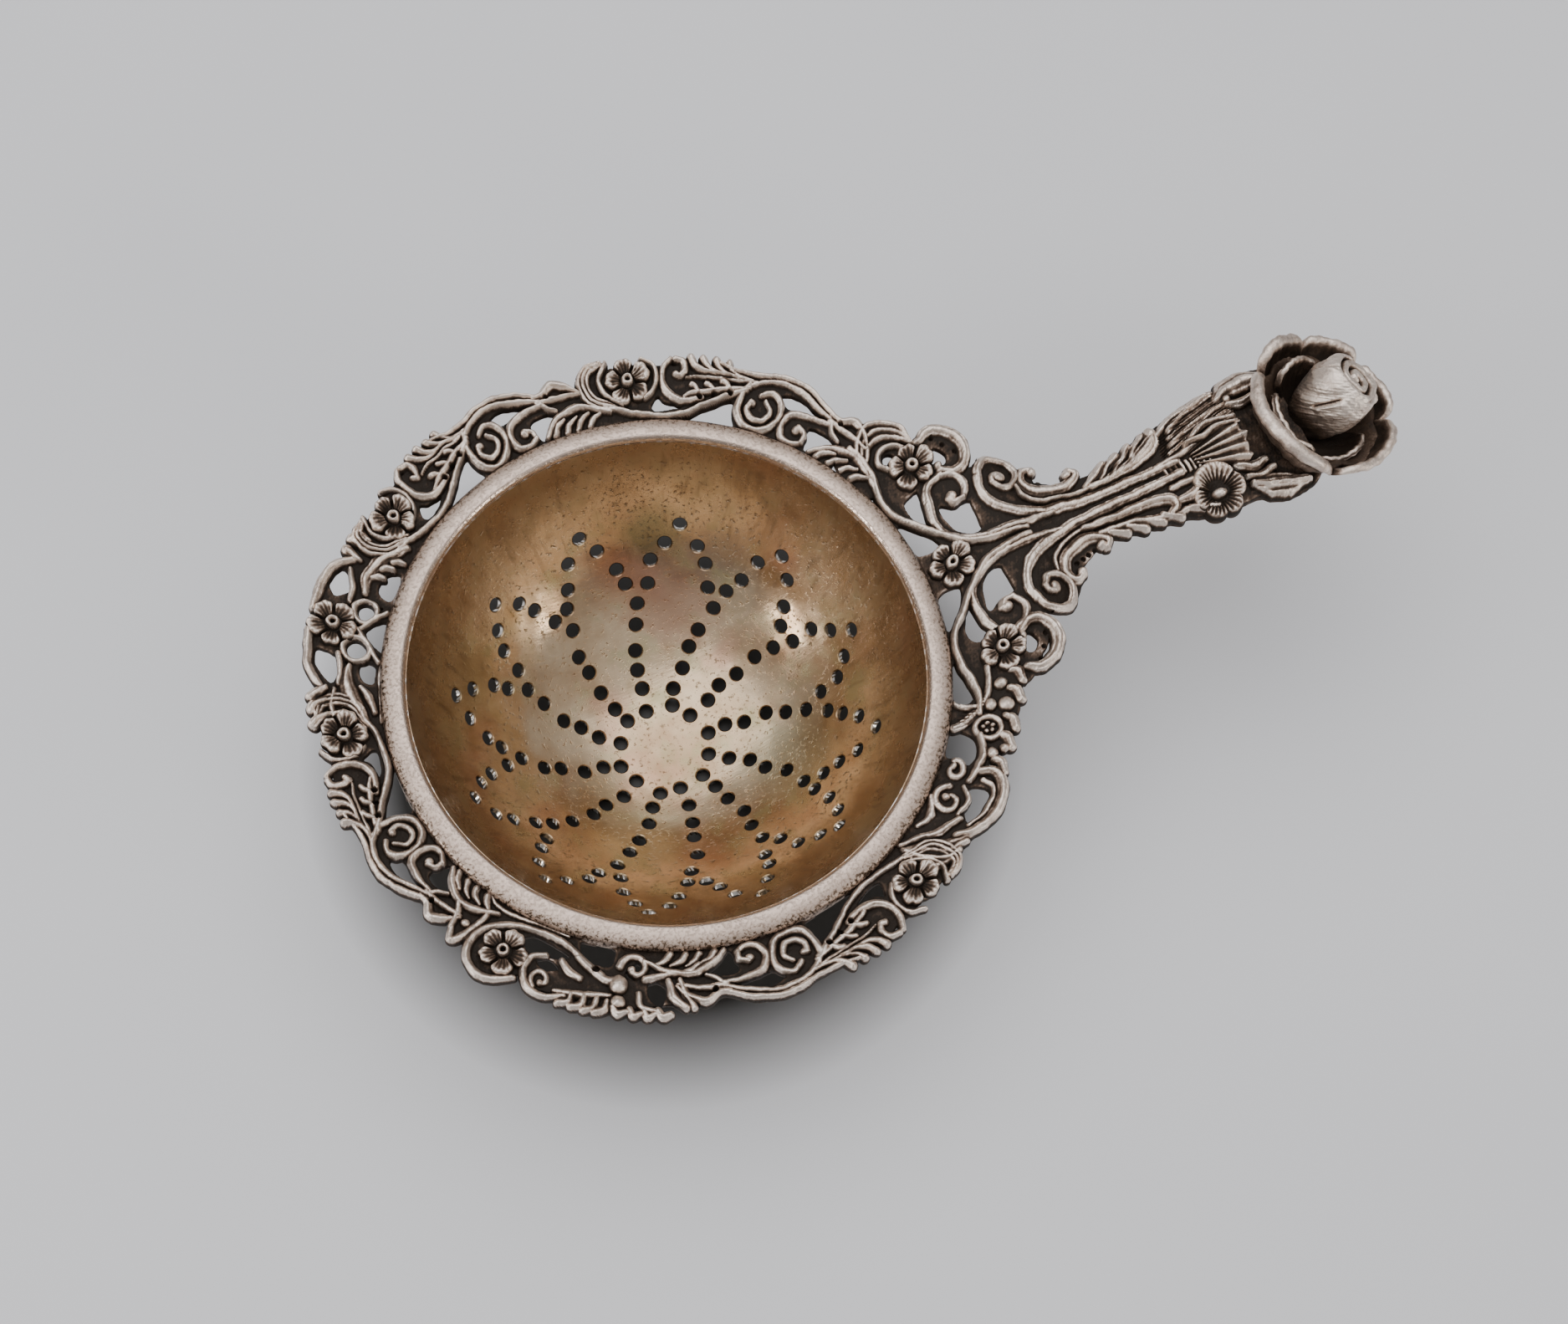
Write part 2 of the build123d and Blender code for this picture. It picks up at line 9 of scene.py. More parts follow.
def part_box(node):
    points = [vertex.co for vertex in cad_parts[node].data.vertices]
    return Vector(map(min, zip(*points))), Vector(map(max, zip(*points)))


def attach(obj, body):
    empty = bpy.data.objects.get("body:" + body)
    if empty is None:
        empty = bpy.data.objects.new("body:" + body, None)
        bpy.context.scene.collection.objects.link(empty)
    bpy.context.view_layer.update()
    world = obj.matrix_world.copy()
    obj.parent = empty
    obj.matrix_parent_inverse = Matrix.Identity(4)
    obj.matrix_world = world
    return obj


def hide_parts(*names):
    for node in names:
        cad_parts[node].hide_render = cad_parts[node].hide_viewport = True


# A silver tea strainer. Plan sizes are in millimetres and degrees, measured from the bowl's axis and
# from the handle's direction, as in the CAD frame, and become metres when a mesh is made.
# A stroke's places are written in pairs: angle and radius on the border, x and y on the handle.
MM = 0.001

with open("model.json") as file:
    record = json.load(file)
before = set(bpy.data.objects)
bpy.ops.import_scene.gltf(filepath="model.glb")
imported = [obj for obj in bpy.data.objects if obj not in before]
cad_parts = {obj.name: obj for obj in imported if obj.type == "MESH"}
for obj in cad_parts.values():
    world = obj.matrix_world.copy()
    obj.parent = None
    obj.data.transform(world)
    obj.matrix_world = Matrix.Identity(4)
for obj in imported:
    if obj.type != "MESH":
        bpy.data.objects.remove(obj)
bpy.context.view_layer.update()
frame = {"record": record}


def node_span(node):
    """Lowest and highest corners of a CAD node in millimetres."""
    low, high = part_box(node)
    return np.array(low) / MM, np.array(high) / MM


BAND_R = node_span("rim_band")[1][0]
BAND_TOP = node_span("rim_band")[1][2]
BOWL_LOW = node_span("strainer_bowl")[0][2]
BOWL_TOP = node_span("strainer_bowl")[1][2]
BOWL_EDGE = node_span("strainer_bowl")[1][0]
NECK_X = node_span("handle_scrolls")[0][0]
LEAF_X = node_span("handle_leaves")[0][0]

SLOPE = 0.28  # rise of the border for each millimetre outward from the band
GROUND_T = 0.75  # thickness of the casting between its ridges
RIDGE_T = 1.6  # usual height of a ridge over the casting's back
CELL = 0.09  # spacing of the grids that the castings are laid on
FULL = 1.3  # how much fuller a ridge is than its written half width
HOLE_R = 0.8  # radius of the bowl's holes
WALL = 0.7  # thickness of the bowl
BACK_SHADE = 0.55  # darkening of a casting's back


# ---- Curves in plan ----


def polar(angle, radius):
    """Plan point at an angle from the handle and a distance from the bowl's axis."""
    turn = math.radians(angle)
    return (radius * math.cos(turn), radius * math.sin(turn))


def track(*places):
    """Plan points from angle and radius pairs."""
    return [polar(angle, radius) for angle, radius in places]


def circle(centre, radius, step=45, count=8):
    """Points round a plan circle, a step of degrees apart."""
    turns = np.radians(step * np.arange(count))
    return [(centre[0] + radius * math.cos(turn), centre[1] + radius * math.sin(turn)) for turn in turns]


def smooth(points, closed=False, steps=7):
    """A smooth curve through points, as a finer row of points."""
    p = np.array(points, float)
    if len(p) < 3:
        return np.linspace(p[0], p[-1], steps + 1)
    if closed:
        a, b, c, d = np.roll(p, 1, 0), p, np.roll(p, -1, 0), np.roll(p, -2, 0)
    else:
        ends = np.vstack([2 * p[0] - p[1], p, 2 * p[-1] - p[-2]])
        a, b, c, d = ends[:-3], ends[1:-2], ends[2:-1], ends[3:]
    t = (np.arange(steps) / steps)[:, None, None]
    curve = 0.5 * (
        2 * b + (c - a) * t + (2 * a - 5 * b + 4 * c - d) * t**2 + (3 * b - a - 3 * c + d) * t**3
    )
    curve = curve.transpose(1, 0, 2).reshape(-1, 2)
    return curve if closed else np.vstack([curve, p[-1]])


def along(values, share):
    """A value that changes evenly along a stroke, from one number or from several."""
    if np.isscalar(values):
        return values
    return np.interp(share, np.linspace(0, 1, len(values)), values)


def ripple(x, y, size, seed):
    """Soft, repeatable unevenness between -1 and 1, with features of about one size."""
    draw = np.random.default_rng(seed)
    total = np.zeros_like(x)
    for _ in range(6):
        heading, phase = draw.uniform(0, 2 * math.pi, 2)
        wave = 2 * math.pi / (size * draw.uniform(0.7, 1.5))
        total += np.sin(wave * (x * math.cos(heading) + y * math.sin(heading)) + phase)
    return total / 3.5


# ---- Relief: a chased casting over a plan grid ----


class Relief:
    """How far each grid point is inside the metal, and how high the metal stands there."""

    def __init__(self, x, y):
        # the hand of the chaser: lines waver a little from their drawing
        self.x = x + 0.09 * ripple(x, y, 3.1, 91) + 0.03 * ripple(x, y, 1.1, 93)
        self.y = y + 0.09 * ripple(x, y, 3.1, 92) + 0.03 * ripple(x, y, 1.1, 94)
        self.plan = x, y
        self.inside = np.full(x.shape, -1.0)
        self.high = np.zeros(x.shape)
        self.place = polar

    def tools(self, place):
        """The strokes that motifs use most, for written pairs that go through a placing."""
        self.place = place
        return self.ridge, self.pierce, self.ball, self.pit

    def plot(self, places):
        """Plan points of a stroke: written pairs go through the motif's placing, points stay."""
        if not isinstance(places, str):
            return places
        pairs = [pair.split() for pair in places.split(",")]
        return [self.place(float(one), float(two)) for one, two in pairs]

    def near(self, low, high, reach):
        """Grid points within reach of a box in plan."""
        pick = (self.x > low[0] - reach) & (self.x < high[0] + reach)
        return np.nonzero(pick & (self.y > low[1] - reach) & (self.y < high[1] + reach))

    def stroke_field(self, curve, reach):
        """Grid points near a curve, with their distance from it and their place along it."""
        spot = self.near(curve.min(0), curve.max(0), reach)
        q = np.stack([self.x[spot], self.y[spot]], 1)
        best = np.full(len(q), 1e9)
        place = np.zeros(len(q))
        for k in range(len(curve) - 1):
            a, run = curve[k], curve[k + 1] - curve[k]
            t = np.clip(((q - a) @ run) / max(run @ run, 1e-9), 0, 1)
            gap = np.hypot(*(q - a - t[:, None] * run).T)
            closer = gap < best
            best = np.where(closer, gap, best)
            place = np.where(closer, (k + t) / (len(curve) - 1), place)
        return spot, best, place

    def patch_field(self, points, reach):
        """Grid points near a closed curve, and how far each is inside it."""
        curve = smooth(self.plot(points), closed=True, steps=4)
        ring = np.vstack([curve, curve[:1]])
        spot, gap, _ = self.stroke_field(ring, reach)
        px, py = self.x[spot], self.y[spot]
        odd = np.zeros(len(px), bool)
        for (ax, ay), (bx, by) in zip(ring[:-1], ring[1:]):
            cross = (ay > py) != (by > py)
            odd ^= cross & (px < ax + (py - ay) * (bx - ax) / (by - ay + 1e-12))
        return spot, np.where(odd, gap, -gap)

    def ground(self, points, high=GROUND_T):
        """A low patch of metal."""
        spot, inside = self.patch_field(points, 1.0)
        self.inside[spot] = np.maximum(self.inside[spot], inside)
        self.high[spot] = np.where(inside > -0.3, np.maximum(self.high[spot], high), self.high[spot])

    def pierce(self, points):
        """A hole through the ground."""
        spot, inside = self.patch_field(points, 1.0)
        self.inside[spot] = np.minimum(self.inside[spot], -inside)
        self.high[spot] = np.where(inside > 0, 0.0, self.high[spot])

    def ridge(self, points, width=0.36, top=RIDGE_T, foot=0.45, groove=0.0):
        """A rounded ridge along a smooth line, with a groove down its middle if asked."""
        curve = smooth(self.plot(points))
        spot, gap, place = self.stroke_field(curve, FULL * np.max(width) + 0.4)
        half = FULL * along(width, place)
        crown = along(top, place) + 0.14 * math.sin(2.3 * curve[0, 0] + 3.1 * curve[0, 1])
        u = np.clip(gap / half, 0, 1)
        # wide strokes are leaves, with a soft line along each side
        leaf = np.clip((half - 0.5) / 0.2, 0, 1)
        shape = (1 - u**2) ** 0.72 - 0.16 * leaf * np.exp(-(((u - 0.42) / 0.16) ** 2))
        shape -= groove * np.exp(-((u / 0.3) ** 2))
        rise = np.where(gap < half, foot + (crown - foot) * shape, 0)
        self.high[spot] = np.maximum(self.high[spot], rise)
        self.inside[spot] = np.maximum(self.inside[spot], half - gap)

    def lobes(self, steps, shape, width, top=RIDGE_T):
        """Short ridges of one shape, at steps round the border."""
        for step in steps:
            self.ridge([self.place(step + ahead, radius) for ahead, radius in shape], width, top)

    def leaf(self, points, ribs=3, pitch=0.5, width=0.3, top=RIDGE_T):
        """A broad leaf: ribs side by side that draw together at both ends."""
        base = smooth(self.plot(points))[::2]
        run = np.gradient(base, axis=0)
        side = np.stack([-run[:, 1], run[:, 0]], 1) / np.linalg.norm(run, axis=1)[:, None]
        spread = np.sin(np.linspace(0.35, math.pi - 0.35, len(base)))[:, None]
        thin = 0.7 * width
        for k in range(ribs):
            place = k - (ribs - 1) / 2
            line = base + side * place * pitch * spread
            self.ridge(line, (thin, width, width, thin), top - 0.12 * abs(place))

    def ball(self, centre, radius, top=RIDGE_T):
        """A rounded boss."""
        centre = np.array(centre, float)
        spot = self.near(centre, centre, radius)
        gap = np.hypot(self.x[spot] - centre[0], self.y[spot] - centre[1])
        dome = np.sqrt(np.clip(1 - (gap / radius) ** 2, 0, 1))
        self.high[spot] = np.maximum(self.high[spot], np.where(gap < radius, 0.45 + (top - 0.45) * dome, 0))
        self.inside[spot] = np.maximum(self.inside[spot], radius - gap)

    def pit(self, centre, radius, depth=0.6):
        """A rounded hollow that doesn't go through."""
        centre = np.array(centre)
        spot = self.near(centre, centre, radius)
        gap = np.hypot(self.x[spot] - centre[0], self.y[spot] - centre[1]) / radius
        self.high[spot] -= depth * np.clip(1 - gap**2, 0, 1) * (self.high[spot] > 0.5)

    def hatch(self, points, heading, pitch=0.32, depth=0.09):
        """Fine tooled lines inside a patch, all in one direction."""
        spot, inside = self.patch_field(points, 0.2)
        turn = math.radians(heading)
        across = self.x[spot] * math.sin(turn) - self.y[spot] * math.cos(turn)
        self.high[spot] += depth * np.cos(2 * math.pi * across / pitch) * np.clip(inside / 0.3, 0, 1)

    def scroll(self, centre, size, start, way, turns=1.5, width=(0.42, 0.34, 0.26), ball=0.42):
        """A spiral ridge that winds inward to a small ball."""
        share = np.linspace(0, 1, int(14 * turns))
        reach = (size - width[0]) * (1 - share) + (ball * 0.9) * share
        turn = np.radians(start + way * 360 * turns * share)
        line = np.stack([centre[0] + reach * np.cos(turn), centre[1] + reach * np.sin(turn)], 1)
        self.ridge(line, width, (RIDGE_T, RIDGE_T - 0.1, RIDGE_T - 0.25))
        self.ball(line[-1], ball, RIDGE_T + 0.05)

    def settle(self, seed):
        """Uneven casting skin, and how dark each place has gone."""
        self.high += 0.035 * ripple(self.x, self.y, 0.9, seed) + 0.02 * ripple(
            self.x, self.y, 0.4, seed + 1
        )
        worn = 1 - np.clip(self.inside / 0.22, 0, 1)
        self.high = np.maximum(self.high - 0.22 * (1 - np.sqrt(1 - worn**2)), 0.25)
        body = np.where(self.inside > 0, self.high, 0.35)
        near, wide = blur(body, 2), blur(body, 6)
        hollow = 1.5 * (wide - body) + 1.1 * (near - body)
        low = np.clip((1.25 - self.high) / 0.7, 0, 1)
        cloud = 0.07 * ripple(self.x, self.y, 5, seed + 2)
        self.dark = np.clip(0.34 + 1.2 * hollow + 0.55 * low + cloud, 0, 1)


def blur(field, reach):
    """Box blur, twice, over a square of grid cells."""
    for _ in range(2):
        for axis in (0, 1):
            pad = [(0, 0), (0, 0)]
            pad[axis] = (reach + 1, reach)
            total = np.cumsum(np.pad(field, pad, mode="edge"), axis=axis)
            n = field.shape[axis]
            upper = np.take(total, np.arange(2 * reach + 1, 2 * reach + 1 + n), axis)
            field = (upper - np.take(total, np.arange(n), axis)) / (2 * reach + 1)
    return field


def clip_grid(inside):
    """Triangles of a grid cut along the line where inside is zero.

    Gives the new points as pairs of grid points with a share, the triangles and the cut's edges.
    """
    rows, cols = inside.shape
    ids = np.arange(rows * cols).reshape(rows, cols)
    a, b, c, d = ids[:-1, :-1], ids[1:, :-1], ids[1:, 1:], ids[:-1, 1:]
    tris = np.concatenate([np.stack(corners, -1).reshape(-1, 3) for corners in ((a, b, c), (a, c, d))])
    flat = inside.ravel()
    within = flat[tris] > 0
    count = within.sum(1)

    def turned_to(group, lead):
        """Triangles of a group, each starting from its odd corner."""
        return np.stack([group[np.arange(len(group)), (lead + k) % 3] for k in range(3)], 1)

    whole = tris[count == 3]
    one = turned_to(tris[count == 1], np.argmax(within[count == 1], 1))
    two = turned_to(tris[count == 2], np.argmin(within[count == 2], 1))
    ends = np.concatenate([one[:, [0, 1]], one[:, [0, 2]], two[:, [0, 1]], two[:, [0, 2]]])
    ends.sort(1)
    pairs, index = np.unique(ends, axis=0, return_inverse=True)
    index = index.reshape(-1) + rows * cols
    n1, n2 = len(one), len(two)
    p, q, r, s = np.split(index, [n1, 2 * n1, 2 * n1 + n2])
    cut = [(one[:, 0], p, q), (r, two[:, 1], two[:, 2]), (r, two[:, 2], s)]
    faces = np.concatenate([whole] + [np.stack(corners, 1) for corners in cut])
    rim = np.concatenate([np.stack([p, q], 1), np.stack([s, r], 1)])
    share = flat[pairs[:, 0]] / (flat[pairs[:, 0]] - flat[pairs[:, 1]])
    return pairs, share, faces, rim


def relief_mesh(name, relief, level, under, material):
    """Closed mesh of a relief: level(x, y) is the height it stands on, and under(x, y) its back."""
    pairs, share, faces, rim = clip_grid(relief.inside)

    def field(values):
        flat = values.ravel()
        cut = flat[pairs[:, 0]] * (1 - share) + flat[pairs[:, 1]] * share
        return np.concatenate([flat, cut])

    x, y, high, dark = (field(v) for v in (*relief.plan, relief.high, relief.dark))
    used = np.unique(faces)
    order = np.full(len(x), -1)
    order[used] = np.arange(len(used))
    faces, rim = order[faces], order[rim]
    x, y, high, dark = x[used], y[used], high[used], dark[used]
    base = level(x, y)
    back = under(x, y)
    top = np.stack([x, y, base + high], 1)
    bottom = np.stack([x, y, np.minimum(back, base + high - 0.1)], 1)
    n = len(x)
    points = np.concatenate([top, bottom])
    every = np.concatenate([faces, faces[:, ::-1] + n, wall_faces(rim[:, 1], rim[:, 0], n)])
    shade = np.concatenate([dark, np.full(n, BACK_SHADE)])
    return make_piece(name, points, every, material, shade, angle=50)


def wall_faces(first, second, n):
    """Triangles between the edges of a skin and those of its back, numbered n further on."""
    return np.concatenate(
        [np.stack([first, second, second + n], 1), np.stack([first, second + n, first + n], 1)]
    )


def make_piece(name, points, faces, material, shade, angle):
    """A mesh piece from millimetre points, with its darkening and the angle from which edges are sharp."""
    mesh = bpy.data.meshes.new(name)
    mesh.vertices.add(len(points))
    mesh.vertices.foreach_set("co", (np.asarray(points, float) * MM).astype(np.float32).ravel())
    faces = np.asarray(faces, np.int32)
    sides = faces.shape[1]
    mesh.loops.add(faces.size)
    mesh.loops.foreach_set("vertex_index", faces.ravel())
    mesh.polygons.add(len(faces))
    mesh.polygons.foreach_set("loop_start", np.arange(0, faces.size, sides, dtype=np.int32))
    mesh.update(calc_edges=True)
    mesh.validate()
    patina_layer = mesh.attributes.new("patina", "FLOAT", "POINT")
    patina_layer.data.foreach_set("value", shade.astype(np.float32))
    mesh.polygons.foreach_set("use_smooth", np.ones(len(mesh.polygons), bool))
    mesh.set_sharp_from_angle(angle=math.radians(angle))
    mesh.materials.append(material)
    piece = bpy.data.objects.new(name, mesh)
    bpy.context.scene.collection.objects.link(piece)
    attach(piece, "root")
    return piece


# ---- Border motifs ----

# step in degrees and count: a ring that overlaps its own start, and five places round a circle
CLOSED_RING = (36, 11)
FIVE = (72, 5)


def garland(relief, start, way, stretch=1.0):
    """One garland: crescents, C-scroll, acanthus, volute, S-stem, knot and a leaf on the band."""

    def spot(step, radius):
        return polar(start + way * step * stretch, radius)

    def at(*places):
        return [spot(*place) for place in places]

    ridge, pierce, ball, pit = relief.tools(spot)
    relief.ground(
        "-9.5 31, -8.8 34, -8.4 36.5, -5 37.8, 0 37.6, 6 37.7, 12 37.9, 19 37.6, 27 37.8, 33 37.4, "
        "38 36.3, 41.5 37.1, 45 36.2, 47.5 35, 53 33, 53 31, 40 30.8, 26 30.8, 12 30.8, 0 30.8"
    )
    pierce("4.2 33.2, 5.6 34.2, 7 33.5, 10.3 33.2, 8 32.7, 5 32.6")
    pierce("9.8 31.6, 14 32.6, 18.5 34.1, 20.3 34.3, 20.4 32.8, 20.6 31.6, 15 31.4")
    pierce("28.6 36.5, 30.8 36.9, 34 36.5, 37.2 35.8, 33.6 35.8, 30.4 35.4")
    pierce("35.8 34.3, 39 34.5, 42.6 34.3, 41.5 33.6, 39 32.4, 36.8 31.9, 36 33")
    # crescents behind the floret, the leaf before it and the long stem under it
    relief.leaf(
        "-4.3 38.1, -7 37.7, -8.1 36.2, -7.4 34.6, -5 33.5, -2.2 32.8",
        3, 0.52, 0.32, RIDGE_T + 0.1,
    )
    ridge("-3.4 38.2, -4.9 36.8, -4.8 35.2, -3.4 34, -1.4 33.3", (0.3, 0.34, 0.3))
    ridge("-5 33.4, -1 32.55, 3 32, 7.5 31.85, 11.5 32.4, 15 33.5, 19 34.8, 22 35.8", 0.36)
    ridge("2.8 38.3, 4.7 37.4, 5.3 36, 4.6 34.7, 3 33.9", (0.3, 0.34, 0.3))
    # C-scroll with a small curl inside
    ridge(
        "7.9 38.4, 6.6 37.3, 6.4 35.8, 7.5 34.5, 9.6 33.8, 12 33.8, 14 34.2",
        (0.3, 0.42, 0.48, 0.45, 0.36),
    )
    ridge("8.7 38.4, 10.1 38.1, 10.5 37.2, 9.8 36.4, 9 36.6", (0.36, 0.44, 0.42, 0.4))
    # acanthus: outer lobes hook over a dark channel, inner lobes stand on the stem
    lobe = ((-0.5, 38.5), (0.2, 37.7), (1.8, 37.1), (4.6, 36.95))
    relief.lobes((11.9, 14, 16.2, 18.5), lobe, (0.46, 0.44, 0.34, 0.2), RIDGE_T + 0.05)
    ridge("10.8 36.2, 13 36.5, 17 36.5, 20 36.6, 23.5 37", (0.16, 0.24, 0.28))
    ridge("10.5 34.1, 13 34.7, 16 35.1, 19.5 35.6, 22.6 36.1", (0.26, 0.42, 0.38, 0.26))
    for step, low in ((12.4, 34.7), (15.2, 35.1), (18, 35.5)):
        ridge(
            at((step - 0.6, low + 0.75), (step + 0.3, low + 0.5), (step + 1.4, low - 0.2)),
            (0.36, 0.38, 0.25)
        )
        pit(spot(step + 1.2, low - 0.45), 0.4, 1.0)
    # volute: a ring that leaves the stem and turns in to a ball
    ridge(
        "22.4 36.6, 21.2 35.1, 21.4 33.1, 23.2 31.9, 26.2 31.8, 28.6 32.8, 29.4 34.3, 28.6 35.7, "
        "26.8 36.2, 25 35.6",
        (0.36, 0.46, 0.48, 0.46, 0.42, 0.34),
    )
    ridge("26.2 35.1, 27.4 34.1, 26.4 33, 24.4 32.9, 22.9 33.7, 23.3 34.7", (0.3, 0.38, 0.42, 0.38))
    ball(spot(23.8, 34.6), 0.5)
    # double S-stem
    ridge("16.5 38.2, 20 37.7, 23.4 37.7, 27 38.2, 30.5 38.3, 34 37.8, 38.4 36.6", (0.25, 0.34, 0.4, 0.38))
    ridge("20 35.2, 22.6 36.4, 25 37.3, 28.5 37.7, 32 37.4, 35.5 36.6, 39 35.9", (0.3, 0.36, 0.38, 0.3))
    # small C-scroll
    ridge(
        "39 35.5, 34.8 35.35, 31.4 34.7, 30.3 33.4, 31.2 32.1, 33.4 31.7, 35.4 32.3",
        (0.3, 0.42, 0.48, 0.46, 0.4, 0.34),
    )
    ball(spot(33.5, 33.3), 0.6)
    ridge("35.2 32.2, 35.3 33.2, 33.8 33.6", (0.3, 0.34, 0.4))
    # knot, opening into a pointed leaf
    ridge(
        "38.2 36.5, 40.2 36.5, 42.4 37.3, 45 36.6, 47.2 35.5",
        (0.4, 0.46, 0.5, 0.46, 0.22), RIDGE_T + 0.1,
    )
    ridge("38.4 35.8, 41 35.7, 44 35.6, 47 35.3", (0.4, 0.4, 0.36, 0.22))
    ridge("38.8 35.8, 40 34.9, 41.8 34.3", (0.36, 0.32, 0.22))
    pit(spot(40.6, 36.1), 0.36, 0.9)
    # lobed leaf against the band
    ridge("37.8 31.8, 41 33.3, 45 34, 49 33.6, 53 32.7", (0.3, 0.46, 0.5, 0.42, 0.25), RIDGE_T)
    lobe = ((0, 31.7), (1, 32.5), (3, 33.1))
    relief.lobes((39.6, 42.4, 45.2, 48.2), lobe, (0.42, 0.42, 0.22), RIDGE_T - 0.1)


def crest(relief):
    """A floret over two round eyes, with leaves that fall away on both sides."""
    ridge, pierce, _, pit = relief.tools(polar)
    relief.ground(
        "168 30.8, 168 37.4, 163 37.6, 160 38.2, 154 38.8, 149.5 38.8, 145 38.8, 139.5 38.2, 135 37.4, "
        "131 37.2, 131 30.8, 140 30.7, 149.5 30.7, 159 30.7"
    )
    pierce("153 31.5, 149.3 33.4, 146.3 31.5, 149.5 31.3")
    pierce("159.6 32, 159.4 33, 157.4 33.6, 155.4 33.2, 155.8 32.1, 157.6 31.9")
    pierce("141.7 31.7, 141 33.2, 137.9 33.3, 135.8 31.8")
    pierce("144.2 37.6, 143 38.4, 141 38.5, 139.3 37.6, 141.5 36.2, 143.2 36.4")
    pierce("160 36.5, 157.7 37.9, 154.5 38.4, 154.2 37.4, 155.2 36.1, 158 36")
    for eye, size in ((polar(153.3, 34.1), 1.05), (polar(145.7, 33.9), 0.92)):
        pierce(circle(eye, size))
        ridge(circle(eye, size + 0.36, *CLOSED_RING), 0.32)
        for grain_place in circle(eye, size + 0.75, *FIVE):
            pit(grain_place, 0.2, 0.5)
    # outer arcs that spring from the floret
    ridge("161.5 37.3, 158 38.7, 154 39.2, 151.2 39.3", (0.36, 0.46, 0.5, 0.4))
    ridge("147.6 39.3, 145.2 39.3, 142 39.1, 139 38.4, 137.2 37", (0.4, 0.5, 0.46, 0.42))
    ridge("160.4 35.7, 157 35.6, 154.6 35.9", (0.25, 0.34, 0.3))
    ridge("144.6 35.7, 142.2 35.9, 139 36.9", (0.3, 0.36, 0.3))
    # hooked lobes at the outer edge and broad leaves toward the band
    hook, stub = ((0.9, 38.5), (0, 37.9), (-0.7, 37)), ((-0.2, 38), (0.1, 37.3), (0.4, 36.3))
    relief.lobes((166.6, 164, 161.9), hook, (0.6, 0.56, 0.3), RIDGE_T + 0.1)
    relief.lobes((136.3, 134.2, 132.4), stub, (0.6, 0.52, 0.3), RIDGE_T + 0.1)
    ridge("167.5 36.3, 164.5 36.5, 161.5 36.1", (0.25, 0.4, 0.3))
    ridge(
        "167 33, 164.5 33.9, 161.6 34.6, 158.6 34.9, 156.8 34.6",
        (0.4, 0.72, 0.9, 0.62, 0.3), RIDGE_T + 0.1,
    )
    ridge("166 32, 162.8 32.6, 160.8 33.4", (0.3, 0.5, 0.3))
    ridge(
        "142.2 34.5, 139.5 34.9, 136 34.5, 132.6 33.3, 130.5 32.5",
        (0.36, 0.66, 0.76, 0.6, 0.36), RIDGE_T + 0.1,
    )
    for step, radius in ((138.2, 33.9), (136, 33.4), (133.8, 32.6)):
        ridge(
            track((step + 0.8, radius + 0.5), (step, radius), (step - 0.3, radius - 0.7)), (0.36, 0.42, 0.3)
        )
    ridge("155.2 31.6, 153.6 32.4, 151.4 33.2, 149.4 34.2", 0.3)
    ridge("144.6 31.6, 146 32.4, 147.9 33.3, 149.4 34.2", 0.3)
    ridge("168 31.5, 162 31.4, 155.5 31.4", 0.22, RIDGE_T - 0.4)


